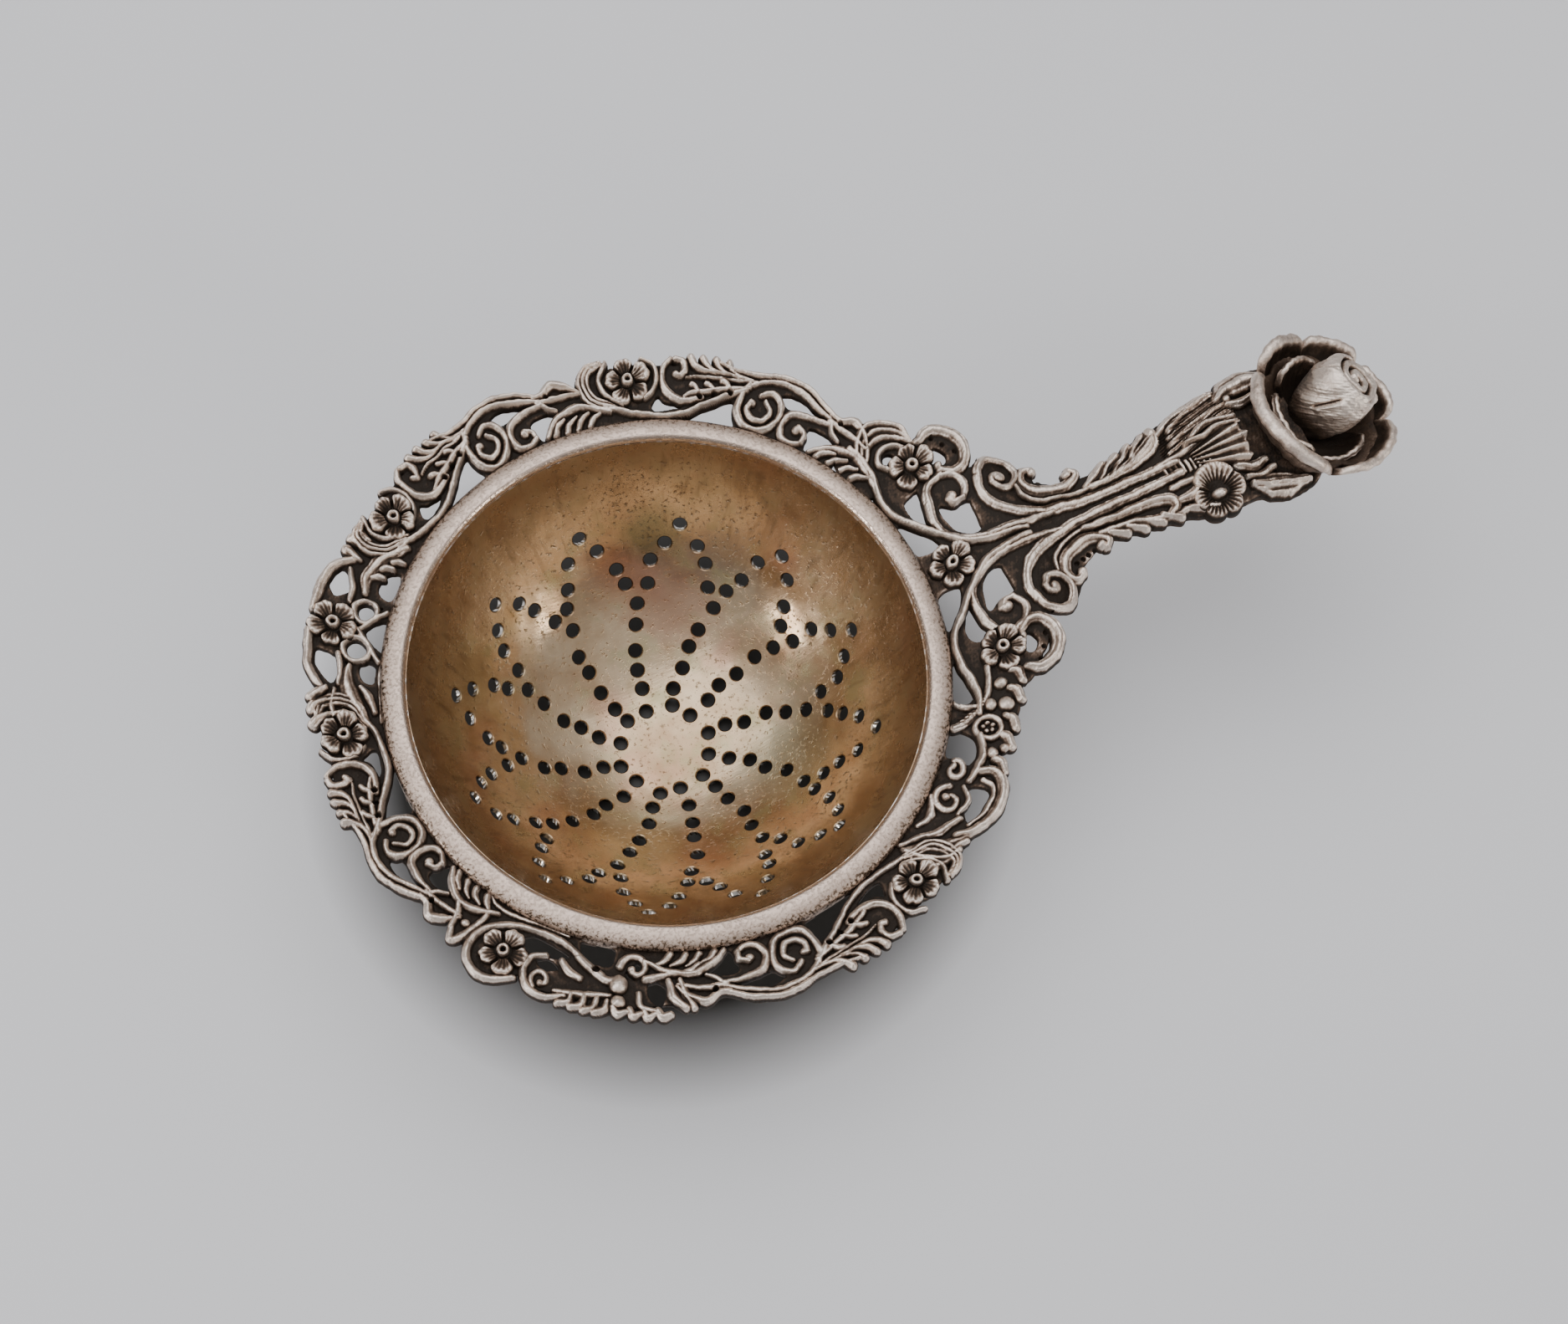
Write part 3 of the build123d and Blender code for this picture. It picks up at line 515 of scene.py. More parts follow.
def loop_length(relief):
    """A floret inside one large loop, small volutes, a bulb and a pierced leaf."""
    ridge, pierce, ball, pit = relief.tools(polar)
    relief.ground(
        "208 30.8, 208 34, 210.5 37.4, 213 36.5, 215 38.6, 219 39.2, 223 37.6, 226 38.4, 231 38, 236 38.5, "
        "241 38.2, 246 37.6, 251 37.4, 254 36, 254 30.6, 245 30.6, 236 30.7, 226 30.8, 216 30.8"
    )
    pierce("220.6 34, 224 34.7, 229.6 33.9, 226 33, 222 33")
    pierce("228.4 35.3, 226.6 36, 224.6 35.4, 226.4 34.7")
    pierce("230.4 31.7, 232.6 33.3, 236.8 33.7, 237.4 32.4, 236.6 31.5, 233 31.5")
    pierce("243.8 35.5, 244.6 37, 246.4 37.6, 247 35.8, 245.2 34.9")
    pierce("243.6 31.5, 245.5 33.1, 249 33, 250.2 31.4, 247 31.1")
    pierce("239.8 34.2, 241.6 34.8, 243 33.8, 241.6 32.9")
    pierce("250.4 33.6, 252.5 34, 255.6 33.4, 255.8 31.6, 253 32.8")
    ridge(
        "222.4 38.2, 219.5 39.4, 216.6 39.5, 214.3 38.3, 213.3 36.4, 214.8 34.2, 218.4 32.8, 223 32.2, "
        "228 32.4, 232 33.6, 236 34.9",
        (0.36, 0.44, 0.46, 0.46, 0.46, 0.44, 0.42, 0.4),
    )
    ridge("228 31.5, 222 31.5, 217 31.9, 213 31.9, 211 31.4", (0.2, 0.3, 0.34, 0.3), RIDGE_T - 0.2)
    ridge("213 33.4, 212.5 35.4, 212 37, 210.8 37.9, 209.7 37", (0.36, 0.46, 0.5, 0.46, 0.36))
    ridge("209.4 36.8, 208.8 35.4, 207.4 34.2", (0.36, 0.44, 0.36))
    ball(polar(210.9, 35.6), 0.62, RIDGE_T)
    ridge(
        "231 38.2, 228 38.9, 225 38.5, 223.3 36.9, 223.5 35.3, 225.6 34.4",
        (0.36, 0.42, 0.44, 0.42, 0.34),
    )
    relief.scroll(polar(226.5, 37.2), 1.5, 200, -1, 0.9, (0.34, 0.34, 0.3), 0.45)
    ridge("228.6 34.4, 230.6 35.4, 232.6 35.8", (0.36, 0.52, 0.36))
    ridge("231.2 33.5, 234 34.5, 237 35.3, 239 35", (0.4, 0.46, 0.46))
    pit(polar(234.7, 34.3), 0.5, 1.1)
    # leaf with hooked lobes
    ridge("229.2 37.9, 231.6 37.7, 234.6 37.4, 238 37", (0.3, 0.5, 0.46, 0.34), RIDGE_T)
    hook = ((0.8, 37.7), (0.6, 38.6), (-0.8, 39.1))
    relief.lobes((231.2, 233.2, 235.2, 237), hook, (0.36, 0.52, 0.44), RIDGE_T + 0.1)
    ball(polar(239.1, 35.7), 1.15, RIDGE_T + 0.5)
    ball(polar(239.4, 37.6), 0.9, RIDGE_T + 0.35)
    arch = ((-0.8, 38.2), (0, 38.9), (1.2, 38.6))
    relief.lobes((239.6, 242, 244.4, 246.6), arch, (0.42, 0.52, 0.4), RIDGE_T + 0.05)
    relief.scroll(polar(241.5, 33.5), 2.05, 150, -1, 0.95, (0.42, 0.42, 0.36), 0.5)
    ridge("243.4 34.7, 247 34.1, 250 33.9, 253 33.1", (0.42, 0.42, 0.36))
    ridge("242.6 36.4, 243.1 37.8, 245.6 38.3", (0.34, 0.4, 0.34))
    for k in range(2):
        ridge(
            track((247.4 + k * 2, 34.8), (248.4 + k * 2.1, 36.6), (250.2 + k * 1.2, 37.9)),
            (0.34, 0.6, 0.4), RIDGE_T + 0.05
        )


def fan_length(relief):
    """A fan of long ridges, a scroll under an outer leaf, a bead ring and a lobed leaf."""
    ridge, pierce, ball, _ = relief.tools(polar)
    relief.ground(
        "300 30.8, 300 36.8, 304 37.6, 309 37.4, 314 38.3, 318.4 37.6, 320.6 36.4, 325 37.8, 330 38.6, "
        "336 39, 339 38, 339 30.8, 329 30.8, 319 30.8, 309 30.8"
    )
    pierce("315.8 37.2, 312.8 37.7, 309.2 36.8, 310.6 35.8, 315 35.2")
    pierce("325.6 31.8, 325.4 33.7, 322.8 34.8, 319.7 34.4, 320.2 32.6, 320.6 31.7")
    pierce("340.4 31.7, 337.6 33.4, 335.6 34.4, 333 33.8, 332.2 31.8, 336 31.6")
    # the fan
    for k in range(4):
        lead = 1.9 * k
        outer = ((307.6 - lead, 37.5 - 0.15 * k), (304.6 - lead * 0.9, 36.3))
        inner = ((302.6 - lead * 0.8, 34.4), (298.6, 32.2 + 0.1 * k))
        ridge(track(*outer, *inner), (0.36, 0.56, 0.5, 0.3))
    ridge("309 35.6, 305.4 34.4, 302.4 32.9, 299 31.7", (0.4, 0.52, 0.46, 0.3))
    ridge("311.5 31.7, 307.6 32.6, 304.4 32", (0.3, 0.5, 0.3), RIDGE_T - 0.3)
    # outer leaf that hoods a light, with a scroll under it
    ridge(
        "318.6 35.6, 319 37.2, 317.4 38.4, 314.4 38.8, 311 38.5, 308 37.5, 306 36.2",
        (0.44, 0.6, 0.6, 0.58, 0.52, 0.4), RIDGE_T + 0.1,
    )
    ridge("317.2 36.2, 316.2 37.7, 312 37.8, 308.6 36.8", (0.3, 0.34, 0.34, 0.26), RIDGE_T - 0.2)
    relief.scroll(polar(311.6, 33.6), 2.1, 60, 1, 1.1, (0.42, 0.4, 0.34), 0.5)
    ridge("315 34.6, 312.6 35.6, 309.8 35.2", (0.25, 0.34, 0.25))
    relief.scroll(polar(317.7, 33.1), 1.55, 70, -1, 0.95, (0.42, 0.4, 0.36), 0.5)
    ridge("316.4 34.9, 319.6 35.4, 322.6 35.5, 325.4 34.7", (0.36, 0.46, 0.46, 0.36))
    # ring of beads among lobes
    bead = polar(327, 35.5)
    ridge(circle(bead, 1.3, *CLOSED_RING), 0.38)
    for grain_place in circle(bead, 0.5, *FIVE):
        ball(grain_place, 0.32, RIDGE_T - 0.15)
    for angle, radius, size in (
        (322.4, 36.4, 0.8), (331.4, 35.5, 0.9), (331.6, 37.2, 1.0), (335.4, 36.5, 0.85), (323.6, 37.6, 0.6)
    ):
        ball(polar(angle, radius), size, RIDGE_T + 0.1)
    for step in (320.4, 325, 328.4, 333.4, 336.8):
        rise = 0.055 * (step - 320)
        ridge(
            track((step + 1, 36.7 + rise), (step + 0.6, 37.5 + rise), (step - 1, 38 + rise)),
            (0.4, 0.6, 0.5)
        )
    ridge("338.6 35.2, 334.4 35.2, 330.6 34.4, 328 33.2, 326.4 31.9", (0.36, 0.46, 0.58, 0.5))
    ridge("331.4 31.8, 330.6 32.8, 331 33.9", (0.4, 0.42, 0.3))
    relief.hatch("333 34.8, 330 34.8, 326.6 32.6, 328.6 31.9, 331.4 33.6", -30, 0.36)


def root_arms(relief):
    """Root of the handle: arms that spring from the band, curl, and meet on the axis."""
    ridge, pierce, ball, pit = relief.tools(polar)
    relief.ground(
        "-26 30.8, -25 39, -20 41.4, -17 42.2, -13.5 41.2, -12.6 41.4, 0 41.2, 12.6 41.4, 13.5 41.2, "
        "17 42.6, 20.5 41.9, 23 39.6, 27 38.7, 30 37, 33 35.4, 33 30.8, 20 30.8, 8 30.8, -6 30.8, -16 30.8"
    )
    for side in (-1, 1):

        def spot(step, radius):
            return polar(side * step, radius)

        relief.place = spot
        pierce("8.4 39.8, 5 40, 3.5 38.7, 5.2 36.9, 8.4 36.4, 10.8 36.7, 9.2 38")
        pierce("15.6 35.8, 15.4 34, 12.6 33.6, 9 34.3, 11.6 35.1")
        pierce("12.6 31.8, 8.6 33.5, 4.7 34.4, 4.3 33, 5.2 31.7, 9 31.6")
        pierce("28.6 31.8, 28 33.2, 25 33.6, 21.8 32.6, 19.6 31.6, 24 31.5")
        pierce("19.2 40.6, 17.4 40.9, 16.2 40, 17.8 39.2, 19.4 39.8")
        ridge(
            "30.5 34.4, 26.5 34.1, 23.4 33.4, 18.6 32.1, 14 32.2, 9.4 33.7, 5.6 35.4, 2.6 37.2, 1.3 39.4, "
            "0.9 41.6, 0.6 43.6",
            (0.36, 0.42, 0.46, 0.42, 0.4, 0.42, 0.46, 0.5, 0.4),
        )
        ridge(
            "15.3 38.9, 14.9 37, 12.2 35.8, 8 35.1, 5 35.8, 3 37.5, 1.9 39.6, 1.6 41",
            (0.46, 0.52, 0.52, 0.46, 0.4),
        )
        ridge("15.3 38.7, 13.6 40.1, 11.2 40.2, 9.6 39.3", (0.46, 0.46, 0.4))
        ball(spot(11, 38.3), 0.8, RIDGE_T + 0.15)
        ridge("9.6 39.3, 9.8 38.2, 11 37.9", (0.34, 0.4, 0.45))
        ridge(
            "22 39.4, 22 41.2, 19.6 42.8, 16.6 42.9, 14.3 41.6, 14.2 40.2, 15.8 39.2",
            (0.46, 0.62, 0.66, 0.66, 0.6, 0.46), RIDGE_T + 0.1,
        )
        for k in range(3):
            pit(spot(20.9 - 2.1 * k, 41 + 0.45 * k), 0.3, 0.5)
        ball(spot(16.6, 39.3), 0.55, RIDGE_T + 0.1)
        ridge("12.4 35.6, 9 34.9", 0.25, RIDGE_T - 0.2)
    # the far side carries a fan of nested ridges round a small eye
    relief.place = polar
    for k in range(3):
        ridge(
            track((26.2 + k * 1.2, 34.2), (28 + k * 1.4, 35.9 + 0.2 * k), (27 + k * 1.2, 37.6 + 0.4 * k))
            + track((24.6 + 0.6 * k, 38.7 + 0.42 * k), (22.3, 39.1)),
            (0.3, 0.46, 0.46, 0.4, 0.18),
        )
    pierce("24.8 36.2, 23.6 36.8, 22.6 36.1, 23.8 35.5")
    ridge("22 35.2, 24.2 34.9, 25.8 36, 24.6 37.6, 22.4 38.2", (0.25, 0.34, 0.34, 0.3))


# ---- Border pieces ----

SKIN_SEED = 7
OUTER_R = 40.6  # past the outermost leaf of the border
FLORET_R = 2.95
FINE_CELL = 0.055  # grid spacing of the florets
# angle and radius of each floret's middle, and the direction of its first petal
FLORETS = {
    "floret_far_right": (75, 35.8, 12),
    "floret_far": (126.8, 35.5, 40),
    "floret_crest": (149.5, 36.9, 100),
    "floret_left": (170, 35.6, 60),
    "floret_near_left": (219, 36.1, 30),
    "floret_near": (295, 35.6, 20),
    "floret_root_near": (-18.2, 37.0, 50),
    "floret_root_far": (19.6, 37.2, 15),
    "floret_axis": (0, 34.4, 36),
}
# first and last angle of each cast length
LENGTHS = {
    "border_far_right": (31.5, 84.0),
    "border_far": (84.0, 132.5),
    "border_crest": (132.5, 164.5),
    "border_left": (164.5, 208.5),
    "border_near_left": (208.5, 252.5),
    "border_near": (252.5, 303.0),
    "border_near_right": (303.0, 335.0),
}
# first angle, last angle and drawing of each motif, in the order they are laid
MOTIFS = (
    (21, 85, lambda relief: garland(relief, 75, -1)),
    (79, 136, lambda relief: garland(relief, 126.8, -1, 0.9)),
    (129, 170, crest),
    (162, 216, lambda relief: garland(relief, 170, 1, 0.84)),
    (208, 256, loop_length),
    (243, 305, lambda relief: garland(relief, 295, -1, 0.98)),
    (297, 342, fan_length),
    (334, 393, root_arms),
)


def dished(x, y):
    """Height of the border's underside."""
    return SLOPE * (np.hypot(x, y) - BAND_R)


def chase(relief, first, last):
    """Draws every motif and floret seat that a span of angles meets."""
    for turn in (-360, 0, 360):
        for low, high, draw in MOTIFS:
            if low + turn < last + 1 and high + turn > first - 1:
                draw(relief)
        for angle, radius, _ in FLORETS.values():
            if first - 6 < angle + turn < last + 6:
                seat(relief, angle, radius, FLORET_R * 0.8)


def seat(relief, angle, radius, size):
    """Flat seat for a floret: the ornament makes way and the ground closes under it."""
    centre = polar(angle, radius)
    gap = np.hypot(relief.x - centre[0], relief.y - centre[1])
    relief.high = np.where(gap < size, GROUND_T, relief.high)
    relief.inside = np.maximum(relief.inside, size - gap)


def stands_for(piece, node):
    """Hides the CAD node that a piece replaces."""
    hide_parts(node)
    return piece


def border_piece(name, material):
    """One cast length of the border, on a grid that runs round the bowl."""
    first, last = LENGTHS[name]
    angles = np.linspace(first, last, int((last - first) / math.degrees(CELL / 35.5)))
    turn, reach = np.meshgrid(np.radians(angles), np.arange(BAND_R, OUTER_R, CELL), indexing="ij")
    relief = Relief(reach * np.cos(turn), reach * np.sin(turn))
    chase(relief, first, last)
    relief.settle(SKIN_SEED)
    # the casting ends at the grid's sides and at the band
    for edge in (np.s_[0], np.s_[-1], np.s_[:, 0]):
        relief.inside[edge] = np.minimum(relief.inside[edge], -1e-4)
    return stands_for(relief_mesh(name + "_cast", relief, dished, dished, material), name)


def root_piece(material):
    """Root of the handle, on a plain grid, cut where it meets the border and the neck."""
    first, last = LENGTHS["border_near_right"][1] - 360, LENGTHS["border_far_right"][0]
    x, y = np.meshgrid(np.arange(27.5, 42, CELL), np.arange(-20, 24, CELL), indexing="ij")
    relief = Relief(x, y)
    chase(relief, first, last)
    draw_scrolls(relief)
    relief.settle(SKIN_SEED)
    angle, radius = np.degrees(np.arctan2(y, x)), np.hypot(x, y)
    keep = np.minimum(radius - BAND_R, radius * np.sin(np.radians(last - angle)))
    keep = np.minimum(keep, radius * np.sin(np.radians(angle - first)))
    neck = np.maximum(NECK_X - x, np.abs(y) - NECK_HALF)
    relief.inside = np.minimum(relief.inside, np.minimum(keep, neck))
    return stands_for(relief_mesh("handle_root_cast", relief, dished, dished, material), "handle_root")


def floret_piece(name, material):
    """Five cupped, veined petals with rolled rims and deep notches between them, round a tubular boss."""
    angle, radius, turn = FLORETS[name]
    centre = polar(angle, radius)
    span = np.arange(-FLORET_R - 0.1, FLORET_R + 0.1, FINE_CELL)
    x, y = np.meshgrid(span, span, indexing="ij")
    relief = Relief(x + centre[0], y + centre[1])
    x, y = relief.x - centre[0], relief.y - centre[1]
    middle = np.hypot(x, y)
    # angle from the nearest petal's middle line, in degrees
    around = np.degrees(np.arctan2(y, x)) - turn
    off = (around + 36) % 72 - 36
    which = np.round(around / 72) % 5
    size = FLORET_R * (0.95 + 0.05 * np.cos(which * 2.1 + angle))
    # lobes between 5 notches, with a small dent in the middle of each rim
    lobe = size * (0.66 + 0.34 * np.cos(np.radians(off * 2.4)) ** 0.7) - 0.16 * np.exp(-((off / 7) ** 2))
    out = np.clip(middle / lobe, 0, 1)
    notch = np.radians(36 - np.abs(off)) * middle
    cup = 0.55 + 0.95 * out**1.5 + 0.05 * np.cos(np.radians(off) * 26) * (out > 0.3)
    cup -= 0.75 * np.exp(-((notch / 0.16) ** 2)) * np.clip(middle / 1.2, 0, 1)
    cup += 0.18 * np.cos(which * 2.7 + angle)
    relief.high = np.maximum(cup * np.sqrt(np.clip(1 - out**12, 0.03, 1)), 0.3)
    relief.inside = lobe - middle
    relief.high = np.where(middle < 0.95, 0.45, relief.high)
    tube = np.abs(middle - 0.48) / 0.27
    relief.high = np.where(tube < 1, 0.7 + 0.85 * np.sqrt(np.clip(1 - tube**2, 0, 1)), relief.high)
    relief.settle(int(angle) + 400)
    relief.dark = np.clip(relief.dark + 0.35 * np.clip(1 - middle / 2.1, 0, 1) * (tube > 1), 0, 1)
    base = GROUND_T - 0.1

    def stand(px, py):
        return dished(px, py) + base

    return stands_for(relief_mesh(name + "_chased", relief, stand, stand, material), name)


# ---- Handle ----

NECK_HALF = 10.1  # half width of the handle at the neck
LEAF_END = 77.6  # where the leaf bundle disappears under the rose
LEAF_CELL = 0.06  # grid spacing of the poppy and the shell leaf
# plan distance from the bowl's axis, height of the ridge tops and height of the underside
HANDLE_X = (40.2, 46, 52, 58, 64, 77)
HANDLE_TOP = (3.9, 3.9, 4.2, 5.2, 6.3, 6.8)
HANDLE_UNDER = (2.2, 1.95, 2.1, 2.6, 3.2, 3.6)


def handle_share(x):
    """0 at the neck, where the handle still follows the border's dish, to 1 on the stem."""
    t = np.clip((x - NECK_X) / 6, 0, 1)
    return t * t * (3 - 2 * t)


def handle_level(x, y):
    """Height the handle's relief stands on: the dish at the neck, then a crowned stem."""
    stem = np.interp(x, HANDLE_X, HANDLE_TOP) - RIDGE_T - 0.016 * y**2
    share = handle_share(x)
    return dished(x, y) * (1 - share) + stem * share


def handle_under(x, y):
    """Height of the handle's back, which is slightly rounded."""
    back = np.interp(x, HANDLE_X, HANDLE_UNDER) + 0.01 * y**2
    share = handle_share(x)
    return np.minimum(dished(x, y) * (1 - share) + back * share, handle_level(x, y) + 0.2)


def flat_place(x, y):
    """Plan point from its distances along and across the handle."""
    return (x, y)


def draw_scrolls(relief):
    """Twin stems that leave the axis, open into volutes, and carry C-scrolls and leaves."""
    ridge, _, ball, pit = relief.tools(flat_place)
    relief.ground(
        "39.5 8.6, 41.4 9.6, 44 9.6, 46.2 8, 48 5, 52 3.8, 57 4.4, 61 5.5, 64 5, 64 -5.6, 60 -5.4, "
        "55 -4.6, 51.6 -4.6, 48 -6, 46.6 -8.4, 44.6 -10, 41.6 -9.8, 39.5 -8.6"
    )
    for side in (-1, 1):

        def spot(x, y):
            return (x, side * y)

        relief.place = spot
        # stem from the volute to the axis, and the arm of the root that joins it
        ridge(
            "40.9 8, 40.8 6, 41.9 3.9, 44.2 2.4, 47.6 1.4, 52 0.95, 57 0.85, 62.4 0.75",
            (0.46, 0.52, 0.58, 0.64, 0.68, 0.66, 0.6, 0.5), RIDGE_T + 0.1, groove=0.12,
        )
        ridge("39.5 1.3, 41.5 1.15, 44.4 1.05, 47.4 1.1", (0.5, 0.56, 0.5, 0.3))
        ridge(
            "40.9 7.2, 41.5 9, 43.3 9.9, 45.1 9.2, 45.7 7.5, 44.8 6.1, 43.4 5.9, 42.5 6.9",
            (0.48, 0.52, 0.55, 0.52, 0.48, 0.46, 0.42),
        )
        ball((43.5, side * 7.3), 0.85, RIDGE_T + 0.1)
        ridge("42.5 6.9, 42.7 7.6, 43.4 7.7", 0.4)
        ridge("44.9 5.6, 45.2 4.1, 47 2.75, 50.4 2.1, 54.4 1.95", (0.25, 0.32, 0.34, 0.3, 0.2))
        # C-scroll, a fat crescent that curls in at both ends
        ridge(
            "47.5 7, 46.3 7.2, 45.7 6, 46.4 4.5, 48.2 3.6, 50.2 3.5, 51.6 4.3, 51.2 5.1",
            (0.45, 0.58, 0.68, 0.74, 0.76, 0.72, 0.6, 0.45), RIDGE_T + 0.2,
        )
        ball((47.4, side * 6.7), 0.68, RIDGE_T + 0.2)
        ball((50.8, side * 4.7), 0.65, RIDGE_T + 0.2)
        for k in range(4):
            pit((47.3 + k * 0.85, side * (5.5 - 0.32 * k + 0.04 * k * k)), 0.3, 0.8)
    # upper leaf: lobes that lean along a broad blade with a curled tip
    relief.place = flat_place
    for k in range(4):
        lobe = [(52 + 1.9 * k, 2.3 + 0.2 * k), (53.6 + 1.9 * k, 3.2 + 0.4 * k)]
        lobe.append((55 + 1.8 * k, 4.1 + 0.42 * k))
        ridge(lobe, (0.3, 0.56, 0.46), RIDGE_T + 0.05)
    ridge(
        "52.6 2, 56.2 2.3, 59 3, 60.9 4.1, 61.4 5.3",
        (0.4, 0.6, 0.85, 0.9, 0.6), RIDGE_T + 0.3, groove=0.12,
    )
    relief.hatch("54 2, 57 2, 61 3.6, 61.6 5.4, 58.6 4.8, 55 3.2", 32, 0.42, 0.08)
    ball((61.4, 5.1), 0.8, RIDGE_T + 0.35)
    # lower leaf: a tongue that turns over, with small lobes on its edge
    ridge(
        "49.6 -2.2, 53.4 -2.3, 57 -2.4, 59.7 -2.9, 60.2 -4, 59.4 -4.5",
        (0.36, 0.56, 0.66, 0.66, 0.5), RIDGE_T + 0.2,
    )
    ridge("51 -3.3, 55 -3.7, 58 -4.6, 61.4 -5", (0.36, 0.5, 0.56, 0.4), RIDGE_T - 0.1)
    for k in range(4):
        ridge([(52.2 + 2.1 * k, -3.7 - 0.22 * k), (54 + 2.1 * k, -4.6 - 0.25 * k)], (0.42, 0.5))


def draw_leaves(relief):
    """Leaf bundle below the rose: a striated leaf, a twisted cord, sepals and a curled bract."""
    ridge, _, ball, _ = relief.tools(flat_place)
    relief.ground(
        "59.4 4.6, 62.6 5, 66 6.2, 70 6.9, 73.4 8.2, 77 8.1, 79 5, 79 -4.6, 76 -7.6, 72.6 -7.9, 69.6 -6.6, "
        "65 -6.8, 61 -5.4, 59.4 -4"
    )
    # broad striated leaf with a ragged end
    for k in range(4):
        rise = k / 3
        blade = [
            (62.4 + 0.3 * k, 1.9 + 2.6 * rise), (66.4, 3.3 + 2.7 * rise),
            (70.9 - 0.35 * k, 4.1 + 2.8 * rise)
        ]
        ridge(blade, (0.36, 0.66, 0.66), RIDGE_T + 0.1 * (k % 2))
    relief.hatch("61.6 1.4, 66 2.4, 71.4 3.6, 70.4 7.4, 66 6.4, 62 4.8", 15, 0.3, 0.12)
    ridge("62 4.7, 64.4 5.9, 68 6.8, 70.2 7.1", (0.42, 0.5, 0.5), RIDGE_T - 0.1)
    # cord between the stems
    for k in range(9):
        ridge([(60.8 + 0.62 * k, 0.35), (61 + 0.62 * k, -0.85)], 0.25, RIDGE_T - 0.35)
    ridge("60 1, 64 1.5, 68 2.5", (0.36, 0.44, 0.4), RIDGE_T - 0.1)
    ridge("60.6 -2, 62 -1.9, 63.6 -2", 0.42, RIDGE_T - 0.2)
    ridge("60.8 -3.7, 62.2 -3.6, 63.6 -3.1", (0.5, 0.7, 0.5), RIDGE_T + 0.1)
    ridge("61.6 -5, 63 -5.4, 64.6 -6", (0.45, 0.6, 0.5), RIDGE_T)
    # sepals on both sides of the rose
    ridge("70.2 6, 72 6.8, 74.2 7.1, 76.2 6.6", (0.6, 1.2, 1.3, 1.0), RIDGE_T + 0.55)
    ridge("70.8 4.9, 72.4 4.5, 74.4 4.9", (0.45, 0.56, 0.45), RIDGE_T + 0.3)
    ball((71.1, 5.5), 0.7, RIDGE_T + 0.45)
    ridge("69.4 -5.2, 71.2 -5.9, 73.2 -6.5, 75.6 -6.9", (0.4, 1.2, 1.25, 0.4), RIDGE_T + 0.45)
    relief.hatch("69 -4.6, 72.6 -4.8, 76 -6.2, 75.6 -7.6, 72 -7.2, 69 -6.2", -14, 0.5, 0.08)
    ridge("68.6 -2.6, 70.4 -3.2, 71.9 -3", (0.5, 0.72, 0.5), RIDGE_T + 0.3)
    ridge("69 -4.2, 70.8 -4.5, 72.4 -4.2", (0.4, 0.55, 0.4), RIDGE_T + 0.1)


def handle_part(name, node, draw, low, high, material):
    """A stretch of the handle between two distances from the bowl's axis."""
    across = np.arange(-NECK_HALF - 1, NECK_HALF + 1, CELL)
    x, y = np.meshgrid(np.arange(low - 0.02, high + 0.1, CELL), across, indexing="ij")
    relief = Relief(x, y)
    for motif in draw:
        motif(relief)
    relief.settle(SKIN_SEED)
    relief.inside = np.minimum(relief.inside, np.minimum(x - low, high - x))
    return stands_for(relief_mesh(name, relief, handle_level, handle_under, material), node)


# aim and half width in degrees, reach, height of the rim
POPPY_PETALS = (
    (82, 72, 3.75, 1.85),
    (8, 46, 3.5, 1.15),
    (-58, 40, 3.2, 0.95),
    (-118, 42, 3.1, 0.85),
    (180, 46, 2.9, 1.1),
)


def poppy_piece(material):
    """Open flower on the side of the bundle: uneven, radially lined petals round a short pistil."""
    cx, cy = 65.0, -4.7
    span = np.arange(-3.9, 3.9, LEAF_CELL)
    x, y = np.meshgrid(span, span, indexing="ij")
    relief = Relief(x + cx, y + cy)
    angle, middle = np.degrees(np.arctan2(y, x)), np.hypot(x, y)
    lobe, rim = np.full_like(x, 1.5), np.full_like(x, 0.7)
    for aim, half, reach, rise in POPPY_PETALS:
        off = np.abs((angle - aim + 180) % 360 - 180) / half
        share = np.sqrt(np.clip(1 - off**2, 0, 1))
        taller = reach * share**0.5 > lobe
        rim = np.where(taller, rise - 0.25 * off**2, rim)
        lobe = np.maximum(lobe, reach * share**0.5)
    relief.inside = lobe - middle
    out = np.clip(middle / lobe, 0, 1)
    cup = 0.4 + rim * np.clip(out * 1.25 - 0.2, 0, 1) ** 1.2
    turn = np.radians(angle)
    cup += 0.1 * np.sin(turn * 30 + 1.5 * np.sin(3 * turn)) * (out > 0.4) * (out < 0.9)
    cup *= np.sqrt(np.clip(1 - out**10, 0.05, 1))
    pistil = np.clip(1 - ((x / 1.0) ** 2 + ((y + 0.2) / 0.6) ** 2), 0, 1)
    relief.high = np.maximum(cup, (pistil > 0) * (0.7 + 0.9 * np.sqrt(pistil)))
    relief.settle(65)
    relief.dark = np.clip(relief.dark + 0.4 * np.exp(-(((middle - 1.2) / 0.5) ** 2)), 0, 1)

    def stand(px, py):
        return handle_level(px, py) + 0.75 + 0.05 * (px - cx) - 0.1 * (py - cy)

    skin = relief_mesh("handle_poppy_chased", relief, stand, lambda a, b: stand(a, b) - 0.6, material)
    return stands_for(skin, "handle_poppy")


